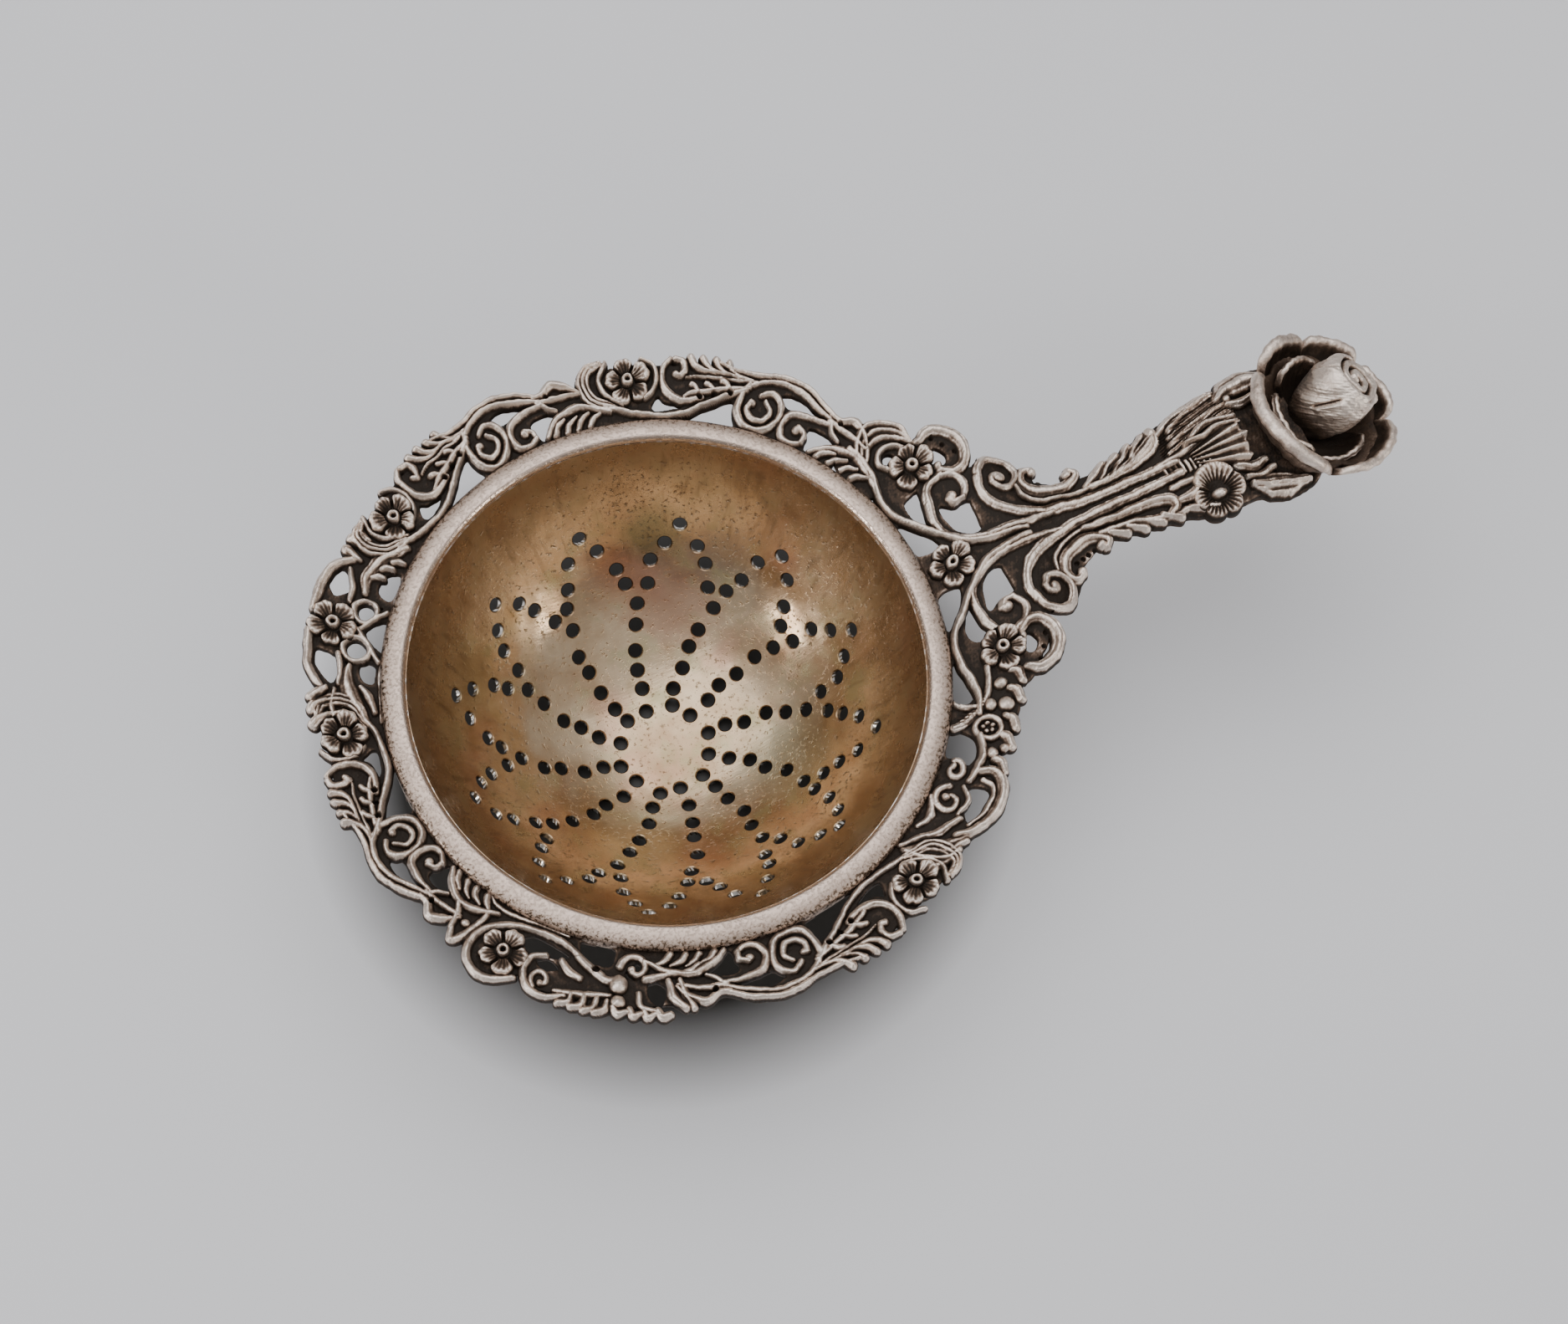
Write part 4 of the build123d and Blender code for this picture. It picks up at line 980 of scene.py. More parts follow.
def shell_piece(material):
    """Fluted shell leaf with a ragged edge, hooded by a rolled rib."""
    x, y = np.meshgrid(np.arange(62.8, 72.2, LEAF_CELL), np.arange(-2.9, 4.2, LEAF_CELL), indexing="ij")
    relief = Relief(x, y)
    # the flutes fan out from a root below the leaf, within a half angle and from a first radius
    root_x, root_y, half, inner = 61.6, 0.3, 0.34, 2.6
    fan = np.arctan2(y - root_y, x - root_x)
    reach = np.hypot(x - root_x, y - root_y)
    edge = 9.4 - 0.5 * np.abs(np.sin(fan * 11)) - 2.2 * fan**2
    relief.inside = np.minimum(np.minimum(edge - reach, (half - np.abs(fan)) * reach), reach - inner)
    flute = 0.28 * np.cos(fan * 42)
    relief.high = 0.55 + 1.35 * np.clip((reach - inner) / 5, 0, 1) + flute - 0.5 * (fan / half) ** 4
    relief.ridge([(65, 2.4), (66.4, 3.1), (68.4, 3.3), (70.4, 2.9)], (0.3, 0.5, 0.5, 0.35), 2.1)
    relief.ridge([(64, 1.9), (66.4, 2.1), (68.6, 2.5), (70.6, 2.2)], (0.25, 0.36, 0.36, 0.3), 2.0)
    relief.settle(67)

    def stand(px, py):
        return handle_level(px, py) + 0.65

    skin = relief_mesh("handle_shell_chased", relief, stand, lambda a, b: stand(a, b) - 0.5, material)
    return stands_for(skin, "handle_shell")


# ---- Rose ----


def grid_faces(rows, cols, closed_rows=False, closed_cols=False):
    """Quads as pairs of triangles over a grid of points numbered row by row."""
    i = np.arange(rows if closed_rows else rows - 1)
    j = np.arange(cols if closed_cols else cols - 1)
    i, j = (v.ravel() for v in np.meshgrid(i, j, indexing="ij"))
    a, b = i * cols + j, (i + 1) % rows * cols + j
    c, d = (i + 1) % rows * cols + (j + 1) % cols, i * cols + (j + 1) % cols
    return np.concatenate([np.stack([a, b, c], 1), np.stack([a, c, d], 1)])


def tilted(points, centre, tilt):
    """Points about an upright axis, moved to a centre and tilted towards the handle's tip."""
    turn = math.radians(tilt)
    x, y, z = points[..., 0], points[..., 1], points[..., 2]
    out = centre[0] + x * math.cos(turn) + z * math.sin(turn)
    up = centre[2] - x * math.sin(turn) + z * math.cos(turn)
    return np.stack([out, centre[1] + y, up], -1)


def lidded(rows, cols):
    """Faces of a turned skin whose first and last row are closed by fans."""
    faces = [grid_faces(rows, cols, closed_cols=True)]
    for row, flip in ((0, 1), (rows - 1, -1)):
        fan = np.stack(
            [np.zeros(cols - 2, int), np.arange(1, cols - 1), np.arange(2, cols)], 1
        ) + row * cols
        faces.append(fan[:, ::flip])
    return np.concatenate(faces)


CUP_CENTRE, CUP_TILT = (79.3, -0.2, 3.6), 16
BUD_FOOT, BUD_TILT = (79.2, 0.4, 4.0), 37
PETAL_T = 0.75
# points up a petal's inside and round its lip
FRONT_POINTS, LIP_POINTS = 34, 13
# middle, half width in degrees, radius, height and roll of each petal, from the handle's tip
OUTER_PETALS = (
    (-63, 43, 8.0, 4.9, 0.56),
    (4, 26, 8.1, 4.9, 0.55),
    (54, 25, 8.3, 5.2, 0.6),
    (101, 25, 8.2, 5.3, 0.7),
    (189, 62, 7.7, 5.0, 0.85),
)
INNER_PETALS = (
    (-75, 40, 5.7, 2.4, 0.3),
    (30, 38, 5.9, 3.0, 0.3),
    (95, 30, 5.8, 4.4, 0.34),
    (186, 50, 5.4, 3.0, 0.3),
)


def petal(middle, half, reach, height, roll, foot):
    """One cupped petal with a rolled lip, as a closed skin: section by section across its width."""
    knots = [(foot, 0.1), (reach * 0.5, 0.25), (reach * 0.78, height * 0.3)]
    rise = smooth(knots + [(reach * 0.95, height * 0.68), (reach, height)], steps=9)
    up = np.linspace(0, 1, FRONT_POINTS)
    inner = np.interp(up, (0, 0.6, 0.9, 1), (1, 1, 0.75, 0.15))
    rows, shade = [], []
    for a in np.linspace(-1, 1, 61):
        # the lip falls away at both sides, and wavers
        keep = 1 - 0.3 * abs(a) ** 5
        wave = 0.22 * math.sin(3.3 * a + middle) + 0.1 * math.sin(7 * a + 2 * middle)
        share = np.linspace(0, keep, FRONT_POINTS)
        front = np.stack([np.interp(share, np.linspace(0, 1, len(rise)), rise[:, k]) for k in (0, 1)], 1)
        front[:, 1] += wave * up**2
        front[:, 0] += 0.05 * math.sin(24 * a + middle) * up**1.5
        run = np.gradient(front, axis=0)
        run /= np.linalg.norm(run, axis=1)[:, None]
        out = np.stack([run[:, 1], -run[:, 0]], 1)
        back = (front + out * PETAL_T)[::-1]
        size = roll * (1 - 0.35 * abs(a) ** 4)
        hub = front[-1] + out[-1] * size
        turn = np.linspace(0, math.pi * 1.25, LIP_POINTS + 1)[1:]
        lip = hub - np.outer(np.cos(turn), out[-1] * size) + np.outer(np.sin(turn), run[-1] * size)
        section = np.concatenate([front, lip, back[2:]])
        phi = math.radians(middle + half * a)
        rows.append(
            np.stack([section[:, 0] * math.cos(phi), section[:, 0] * math.sin(phi), section[:, 1]], 1)
        )
        side_dark = 0.5 * max(0, abs(a) - 0.9) * 5
        outer = np.linspace(0.3, 0.75, FRONT_POINTS - 2)
        shade.append(np.concatenate([inner, np.full(LIP_POINTS, 0.08), outer]) + side_dark)
    points = np.array(rows)
    n, m = points.shape[:2]
    faces = grid_faces(n, m, closed_cols=True)
    caps = []
    for row, flip in ((0, 1), (n - 1, -1)):
        for k in range(m // 2 - 1):
            a, b, c, d = k, k + 1, m - 2 - k, m - 1 - k
            for tri in ((a, b, c), (a, c, d)):
                caps.append([row * m + v for v in tri[::flip]])
    return points.reshape(-1, 3), np.concatenate([faces, np.array(caps)]), np.clip(
        np.array(shade), 0, 1
    ).ravel()


def petal_ring(name, node, petals, foot, lift, material):
    """A ring of petals as one piece."""
    points, faces, shade = zip(*(petal(*spec, foot) for spec in petals))
    # all petals of a ring have the same number of points
    faces = np.concatenate([corners + k * len(points[0]) for k, corners in enumerate(faces)])
    skin = np.concatenate(points) + (0, 0, lift)
    skin += 0.05 * ripple(skin[:, 0], skin[:, 1], 1.4, 21)[:, None]
    skin = tilted(skin, CUP_CENTRE, CUP_TILT)
    return stands_for(make_piece(name, skin, faces, material, np.concatenate(shade), 60), node)


def rose_back(material):
    """Calyx under the petals: a ribbed, rounded cup that closes the rose below."""
    rows, cols = 48, 180
    t = np.linspace(0, 1, rows)[:, None]
    phi = np.linspace(0, 2 * math.pi, cols, endpoint=False)[None, :]
    lobe = np.abs(np.cos(2.5 * (phi - 0.2)))
    below = [(0.05, -1.3), (2.6, -1.25), (5.2, -0.5), (7.2, 1.1), (8.2, 2.7)]
    outline = smooth(below + [(7.6, 3.1), (5, 0.9), (2, 0.5), (0.05, 0.5)], steps=12)
    place = np.linspace(0, 1, len(outline))
    reach = np.interp(t, place, outline[:, 0]) * (0.86 + 0.14 * lobe)
    height = np.interp(t, place, outline[:, 1]) + 0.12 * np.cos(30 * phi) * np.sin(math.pi * t) * (t < 0.5)
    points = np.stack([reach * np.cos(phi), reach * np.sin(phi), height + 0 * phi], -1)
    shade = (0.45 + 0.3 * (1 - lobe) + 0 * t).ravel()
    skin = tilted(points.reshape(-1, 3), CUP_CENTRE, CUP_TILT)
    return stands_for(
        make_piece("rose_calyx", skin, lidded(rows, cols), material, shade, 60), "rose_sepals"
    )


def rose_bud(material):
    """Wound heart: a fat egg with a petal edge on its flank and a two-turn spiral on its end."""
    rows, cols = 190, 240
    flank_line = [(2.7, 0), (3.4, 1.8), (3.9, 4), (4.0, 6), (3.7, 7.5), (3.2, 8.4)]
    outline = smooth(flank_line + [(2.8, 8.7), (2.0, 8.7), (1.0, 8.65), (0.04, 8.6)], steps=20)
    gaps = np.hypot(*np.diff(outline, axis=0).T)
    place = np.concatenate([[0], np.cumsum(gaps)])
    t = np.linspace(0, place[-1], rows)
    phi = np.linspace(0, 2 * math.pi, cols, endpoint=False)
    reach = np.interp(t, place, outline[:, 0])[:, None] + 0 * phi[None, :]
    height = np.interp(t, place, outline[:, 1])[:, None] + 0 * phi[None, :]
    run = np.gradient(np.stack([reach[:, 0], height[:, 0]], 1), axis=0)
    run /= np.linalg.norm(run, axis=1)[:, None]
    across, along_axis = run[:, 1][:, None], -run[:, 0][:, None]
    turn = phi[None, :] + 0 * reach
    # spiral on the end: rounded ridges with dark channels between them
    coil = (reach / 1.3 + turn / (2 * math.pi) + 0.2) % 1
    top = np.clip((3.3 - reach) / 0.5, 0, 1) * (height > 8.0)
    dip = top * -0.75 * np.exp(-(((coil - 0.5) / 0.17) ** 2)) * np.clip(reach / 0.5, 0, 1)
    # wound petal edges on the flank
    flank = np.zeros_like(dip)
    for lead, low, high in ((3.5, 3.4, 7.2), (2.2, 5, 8.6), (0.6, 2.5, 8.4), (5.2, 3, 8.2)):
        edge = (turn - lead - 0.12 * (height - 5) + math.pi) % (2 * math.pi) - math.pi
        span = np.clip((height - low) / 0.6, 0, 1) * np.clip((high - height) / 0.6, 0, 1)
        raised = 0.42 * np.exp(-np.clip(edge, 0, 9) * 3) * (edge > 0)
        flank += span * (raised - 0.5 * np.exp(-((edge / 0.06) ** 2)))
    across_x, across_y = reach * np.cos(turn), height + reach * np.sin(turn)
    swell = 0.13 * ripple(across_x, across_y, 2.2, 5) + 0.035 * ripple(across_x, across_y, 0.5, 6)
    # four soft corners, as if cut down from a block
    wobble = 1.01 + 0.05 * np.cos(turn * 4 + 0.8) + 0.03 * np.cos(turn * 3)
    lift = dip + flank + swell
    reach2 = (reach + across * lift) * wobble
    points = np.stack([reach2 * np.cos(turn), reach2 * np.sin(turn), height + along_axis * lift], -1)
    dark = 1.6 * np.clip(-lift - 0.1, 0, 1) + 0.9 * np.clip((3.4 - height) / 2.2, 0, 1)
    skin = tilted(points.reshape(-1, 3), BUD_FOOT, BUD_TILT)
    shade = np.clip(dark, 0, 1).ravel()
    piece = make_piece("rose_heart", skin, lidded(rows, cols)[:, ::-1], material, shade, 60)
    return stands_for(piece, "rose_bud")


# ---- Bowl and band ----

BOWL_R = 28.9  # radius of the bowl's inside
BOWL_Z = 6.0  # height of its centre
PETALS = 12
RING_POINTS = 24  # points round a hole's edge


def hole_places():
    """Angle and plan radius of each hole: a star of petals whose rays swirl to the middle."""
    places = []
    for k in range(PETALS):
        tip = 3.2 + 360 / PETALS * k
        places.append((tip, 23.8))
        for side in (-1, 1):
            places += [
                (tip + side * step, radius) for step, radius in ((5, 22.3), (8.8, 20.6), (11.4, 18.8))
            ]
        places += [(tip + 15 + 12 * (i / 5) ** 0.8, 16.9 - 2.3 * i) for i in range(6)]
    # pierced by hand, so each hole is a little off its mark
    return [
        (angle + 12 * math.sin(2.7 * n) / radius, radius + 0.2 * math.sin(4.1 * n))
        for n, (angle, radius) in enumerate(places)
    ]


def on_sphere(flat):
    """Directions from the bowl's centre for points of its unrolled plan."""
    reach = np.linalg.norm(flat, axis=1)
    lean = reach / BOWL_R
    turn = np.arctan2(flat[:, 1], flat[:, 0])
    return np.stack([np.sin(lean) * np.cos(turn), np.sin(lean) * np.sin(turn), -np.cos(lean)], 1)


def bowl_piece(material):
    """Thin pierced bowl: a spherical sheet with softly broken hole edges and hammered dents."""
    top_lean = math.acos((BOWL_Z - BOWL_TOP) / BOWL_R)
    holes = [(math.radians(angle), math.asin(radius / BOWL_R)) for angle, radius in hole_places()]
    steps = np.arange(RING_POINTS) * math.pi / 12
    rings, halos, centres = [], [], []
    for angle, lean in holes:
        axis = np.array(
            [math.sin(lean) * math.cos(angle), math.sin(lean) * math.sin(angle), -math.cos(lean)]
        )
        side = np.array([-math.sin(angle), math.cos(angle), 0])
        up = np.cross(axis, side)
        centres.append(BOWL_R * lean * np.array([math.cos(angle), math.sin(angle)]))
        for grow in (0, 0.13, 0.36):
            open_r = (HOLE_R + grow) / BOWL_R
            way = axis + open_r * (np.outer(np.cos(steps), side) + np.outer(np.sin(steps), up))
            way /= np.linalg.norm(way, axis=1)[:, None]
            far = np.arccos(-way[:, 2]) * BOWL_R
            turn = np.arctan2(way[:, 1], way[:, 0])
            ring = np.stack([far * np.cos(turn), far * np.sin(turn)], 1)
            (halos if grow > 0.3 else rings).append(ring)
    centres = np.array(centres)
    # a triangular filling of points keeps clear of the holes and of the rings round them
    pitch, edge_r = 0.9, BOWL_R * top_lean
    row, col = np.meshgrid(np.arange(-52, 53), np.arange(-48, 49), indexing="ij")
    fill = np.stack([pitch * (row + 0.5 * (col % 2)), pitch * 0.866 * col], -1).reshape(-1, 2)
    fill = fill[np.linalg.norm(fill, axis=1) < edge_r - 0.7]

    def gaps(points):
        """Distances of points from every hole's middle, nearest first."""
        return np.sort(np.hypot(*(points[:, None] - centres[None]).transpose(2, 0, 1)), axis=1)

    halo = np.concatenate(halos)
    fill = np.concatenate([halo[gaps(halo)[:, 1] > HOLE_R + 0.42], fill[gaps(fill)[:, 0] > HOLE_R + 0.8]])
    brim = np.radians(np.arange(0, 360, 1.25))
    brim = edge_r * np.stack([np.cos(brim), np.sin(brim)], 1)
    flat = np.concatenate(rings + [fill, brim])
    ring_count, pair = len(rings) * RING_POINTS, 2 * RING_POINTS
    around = [(i, (i + 1) % RING_POINTS) for i in range(RING_POINTS)]
    edges = [(k * pair + i, k * pair + j) for k in range(len(holes)) for i, j in around]
    first = len(flat) - len(brim)
    edges += [(first + i, first + (i + 1) % len(brim)) for i in range(len(brim))]
    faces = np.array(geometry.delaunay_2d_cdt([Vector(p) for p in flat], edges, [], 0, 1e-7)[2])
    owner = np.full(len(flat), -1)
    for k in range(len(holes)):
        owner[k * pair : k * pair + RING_POINTS] = k
    one, two, three = owner[faces].T
    faces = faces[~((one >= 0) & (one == two) & (one == three))]
    way = on_sphere(flat)
    sunk = np.zeros(len(flat))
    at_hole = np.arange(ring_count) % pair < RING_POINTS
    sunk[:ring_count] = np.where(at_hole, 0.12, 0)
    dent = 0.03 * ripple(flat[:, 0], flat[:, 1], 5, 31) + 0.012 * ripple(flat[:, 0], flat[:, 1], 2.2, 32)
    dent *= np.clip((edge_r - np.linalg.norm(flat, axis=1)) / 4, 0, 1)
    inner = way * (BOWL_R + sunk + dent)[:, None] + (0, 0, BOWL_Z)
    outer = way * (BOWL_R + WALL - sunk + dent)[:, None] + (0, 0, BOWL_Z)
    n = len(flat)
    every = np.concatenate([faces[:, ::-1], faces + n, wall_faces(*np.array(edges).T, n)])
    # the hole edges get a dark value: partly tarnish, partly painted shade that makes the holes read dark
    shade = np.concatenate([np.where(at_hole, 0.9, 0.45), np.zeros(n - ring_count)])
    skin = np.concatenate([inner, outer])
    return stands_for(
        make_piece("bowl_pierced", skin, every, material, np.tile(shade, 2), 40), "strainer_bowl"
    )


def turned(name, section, material, shade_of):
    """A ring turned from a closed section of (radius, height) points."""
    turns = np.radians(np.arange(0, 360, 0.75))
    section = np.array(section, float)
    heights = np.tile(section[:, 1], (len(turns), 1))
    reach = section[:, 0]
    skin = np.stack(
        [np.outer(np.cos(turns), reach), np.outer(np.sin(turns), reach), heights], -1
    ).reshape(-1, 3)
    faces = grid_faces(len(turns), len(section), closed_rows=True, closed_cols=True)
    return make_piece(name, skin, faces, material, shade_of(np.hypot(skin[:, 0], skin[:, 1])), 35)


def band_piece(material):
    """Plain convex band, turned, with a rolled lip over the bowl's edge."""
    lip = BOWL_EDGE - 0.6
    crown = [(BAND_R, 1.25), (BAND_R - 0.35, 1.75), (30.3, 2.05), (29.6, BAND_TOP), (29, 2.08)]
    crown.append((lip + 0.05, 1.75))
    foot = [(29.25, 0), (BAND_R - 0.12, 0), (BAND_R, 0.12)]
    edge = [(lip - 0.02, BOWL_TOP + 0.05), (29.25, BOWL_TOP)]
    section = np.concatenate([foot, smooth(crown, steps=5), edge])
    piece = turned(
        "rim_band_turned", section, material, lambda reach: np.clip((reach - 30.4) / 1.0, 0, 1) * 0.7
    )
    return stands_for(piece, "rim_band")


def collar_piece(material):
    """Short straight collar round the bowl under the band, sized by the mount that states it."""
    size = next(mount["dims"] for mount in frame["record"]["mounts"] if mount["name"] == "bowl_collar")
    reach, foot, seam = size["r_mm"], -size["length_mm"], -0.01
    section = [
        (reach - 0.8, foot), (reach - 0.15, foot), (reach, foot + 0.15), (reach, seam), (reach - 0.5, seam)
    ]
    piece = turned("bowl_collar", section, material, lambda reach: np.full(len(reach), 0.3))
    return stands_for(piece, "strainer_bowl")


# ---- Materials ----


def shader(name):
    """A new node material, its tree and its main shader."""
    material = bpy.data.materials.new(name)
    material.use_nodes = True
    tree = material.node_tree
    return material, tree, tree.nodes["Principled BSDF"]


def link(tree, source, target):
    """Joins a socket or a plain value to an input."""
    if isinstance(source, bpy.types.NodeSocket):
        tree.links.new(source, target)
    else:
        target.default_value = source


def sums(tree, kind, *inputs, clamp=False):
    """A math node's result."""
    node = tree.nodes.new("ShaderNodeMath")
    node.operation, node.use_clamp = kind, clamp
    for k, source in enumerate(inputs):
        link(tree, source, node.inputs[k])
    return node.outputs[0]


def plus(tree, first, second, clamp=False):
    """Sum of two sockets or values."""
    return sums(tree, "ADD", first, second, clamp=clamp)


def times(tree, first, second):
    """Product of two sockets or values."""
    return sums(tree, "MULTIPLY", first, second)


def swing(tree, noise, amount):
    """A noise around 0.5 turned into a swing about 0."""
    return times(tree, sums(tree, "SUBTRACT", noise, 0.5), amount)


def vectors(tree, kind, first, second):
    """A vector math node."""
    node = tree.nodes.new("ShaderNodeVectorMath")
    node.operation = kind
    for k, source in enumerate((first, second)):
        link(tree, source, node.inputs[k])
    return node


def object_place(tree):
    """The three parts of the place on a piece."""
    place = tree.nodes.new("ShaderNodeTexCoord").outputs["Object"]
    split = tree.nodes.new("ShaderNodeSeparateXYZ")
    tree.links.new(place, split.inputs[0])
    return split.outputs


def grain(tree, size, detail=3.0, rough=0.5, stretch=None, seed=0.0):
    """Noise with features of about a size in millimetres, centred on 0.5."""
    place = tree.nodes.new("ShaderNodeTexCoord").outputs["Object"]
    if stretch or seed:
        shift = tree.nodes.new("ShaderNodeMapping")
        shift.inputs["Scale"].default_value = stretch or (1, 1, 1)
        shift.inputs["Location"].default_value = (seed, seed * 0.7, seed * 1.3)
        tree.links.new(place, shift.inputs["Vector"])
        place = shift.outputs[0]
    node = tree.nodes.new("ShaderNodeTexNoise")
    node.inputs["Scale"].default_value = 1 / (size * MM)
    node.inputs["Detail"].default_value = detail
    node.inputs["Roughness"].default_value = rough
    tree.links.new(place, node.inputs["Vector"])
    return node.outputs["Fac"]


def ramp(tree, source, *stops):
    """A colour ramp from places and colours."""
    node = tree.nodes.new("ShaderNodeValToRGB")
    colours = node.color_ramp.elements
    while len(colours) < len(stops):
        colours.new(0.5)
    for element, (place, colour) in zip(colours, stops):
        element.position = place
        element.color = (*colour, 1)
    tree.links.new(source, node.inputs[0])
    return node.outputs[0]


def spread(tree, source, low, high, out_low=0.0, out_high=1.0):
    """Maps a range of values to another, clamped."""
    node = tree.nodes.new("ShaderNodeMapRange")
    for k, value in enumerate((source, low, high, out_low, out_high)):
        link(tree, value, node.inputs[k])
    return node.outputs[0]


def blend_colour(tree, share, first, second, kind="MIX"):
    """Mix of two colours."""
    node = tree.nodes.new("ShaderNodeMix")
    node.data_type, node.blend_type = "RGBA", kind
    link(tree, share, node.inputs[0])
    for source, target in ((first, node.inputs[6]), (second, node.inputs[7])):
        if isinstance(source, tuple):
            source = (*source, 1)
        link(tree, source, target)
    return node.outputs[2]


def patina(tree):
    """The darkening stored on the mesh."""
    node = tree.nodes.new("ShaderNodeAttribute")
    node.attribute_name = "patina"
    return node.outputs["Fac"]


def bump(tree, height, depth, shade):
    """Feeds a height in millimetres to the shader's normal."""
    node = tree.nodes.new("ShaderNodeBump")
    node.inputs["Distance"].default_value = depth * MM
    tree.links.new(height, node.inputs["Height"])
    tree.links.new(node.outputs[0], shade.inputs["Normal"])


def cast_silver():
    """Old cast silver: bright worn ridges, brown film on the slopes and black in the recesses."""
    material, tree, shade = shader("cast_silver")
    mottle = grain(tree, 1.6, 4)
    speck = grain(tree, 0.28, 3, 0.6, seed=0.3)
    fine = grain(tree, 0.09, 2, 0.6, seed=0.9)
    dark = plus(tree, patina(tree), swing(tree, mottle, 0.75))
    dark = plus(tree, dark, swing(tree, speck, 0.45), clamp=True)
    worn = (0.0, (0.8, 0.69, 0.6)), (0.17, (0.56, 0.455, 0.385))
    film = (0.38, (0.2, 0.142, 0.108)), (0.58, (0.066, 0.041, 0.027)), (0.88, (0.016, 0.01, 0.006))
    colour = ramp(tree, dark, *worn, *film)
    link(tree, colour, shade.inputs["Base Color"])
    link(tree, spread(tree, dark, 0.35, 0.7, 1.0, 0.1), shade.inputs["Metallic"])
    shade.inputs["Specular IOR Level"].default_value = 0.25
    rough = plus(tree, spread(tree, dark, 0.0, 0.7, 0.34, 0.6), times(tree, fine, 0.1))
    link(tree, rough, shade.inputs["Roughness"])
    height = plus(tree, times(tree, speck, 0.7), times(tree, fine, 0.3))
    bump(tree, height, 0.09, shade)
    return material


def radius_of(tree):
    """Distance from the bowl's axis in millimetres."""
    x, y, _ = object_place(tree)
    square = plus(tree, sums(tree, "POWER", x, 2.0), sums(tree, "POWER", y, 2.0))
    return sums(tree, "DIVIDE", sums(tree, "SQRT", square), MM)


def band_silver():
    """Plain silver band: softly brushed, pitted and stained near the ornament, bright at the lip."""
    material, tree, shade = shader("band_silver")
    reach = radius_of(tree)
    cloud = grain(tree, 3.5, 4)
    speck = grain(tree, 0.35, 3, 0.65, seed=0.5)
    fine = grain(tree, 0.1, 2, seed=0.2)
    outer = spread(tree, reach, 29.9, 31.3)
    stain = times(tree, spread(tree, speck, 0.46, 0.64), plus(tree, times(tree, outer, 0.85), 0.14))
    dark = plus(tree, stain, times(tree, patina(tree), 0.35))
    dark = plus(tree, dark, spread(tree, cloud, 0.35, 0.75, 0.0, 0.14), clamp=True)
    bright, grey = (0.0, (0.58, 0.46, 0.385)), (0.3, (0.42, 0.325, 0.265))
    colour = ramp(tree, dark, bright, grey, (0.7, (0.15, 0.105, 0.075)), (1.0, (0.04, 0.027, 0.018)))
    link(tree, colour, shade.inputs["Base Color"])
    shade.inputs["Metallic"].default_value = 1.0
    rough = plus(tree, spread(tree, reach, 28.8, 29.8, 0.18, 0.38), times(tree, fine, 0.08))
    link(tree, rough, shade.inputs["Roughness"])
    height = plus(tree, times(tree, spread(tree, speck, 0.5, 0.7), -0.6), times(tree, fine, 0.3))
    bump(tree, height, 0.05, shade)
    return material


def near_place(tree, azimuth, radius, size, uneven):
    """1 round a place on the bowl's inside, fading to 0 at about a size in millimetres."""
    place = tree.nodes.new("ShaderNodeTexCoord").outputs["Object"]
    depth = BOWL_Z - math.sqrt(BOWL_R**2 - radius**2)
    gap = vectors(tree, "DISTANCE", place, [v * MM for v in (*polar(azimuth, radius), depth)])
    reach = sums(tree, "DIVIDE", gap.outputs["Value"], size * MM)
    reach = plus(tree, reach, swing(tree, uneven, 1.6))
    return spread(tree, reach, 0.45, 1.0, 1.0, 0.0)


def streaks(tree):
    """Noise drawn out down the bowl's wall."""
    x, y, z = object_place(tree)
    join = tree.nodes.new("ShaderNodeCombineXYZ")
    link(tree, times(tree, sums(tree, "ARCTAN2", y, x), BOWL_R * MM), join.inputs[0])
    link(tree, times(tree, z, 0.3), join.inputs[1])
    node = tree.nodes.new("ShaderNodeTexNoise")
    node.inputs["Scale"].default_value = 1 / (1.1 * MM)
    node.inputs["Detail"].default_value = 3
    tree.links.new(join.outputs[0], node.inputs["Vector"])
    return node.outputs["Fac"]


# azimuth, plan radius and size of the stains on the gilding, with their strength and colour
STAINS = (
    (72, 23.2, 4.6, 0.7, (0.13, 0.15, 0.085)),
    (64, 16.5, 6.5, 0.55, (0.36, 0.19, 0.13)),
    (84, 19.5, 5.0, 0.5, (0.4, 0.2, 0.11)),
    (50, 22, 5.0, 0.45, (0.27, 0.2, 0.17)),
    (225, 12, 9.0, 0.35, (0.5, 0.38, 0.2)),
    (330, 15, 7.0, 0.4, (0.4, 0.38, 0.24)),
    (150, 24, 8.0, 0.35, (0.36, 0.3, 0.14)),
)


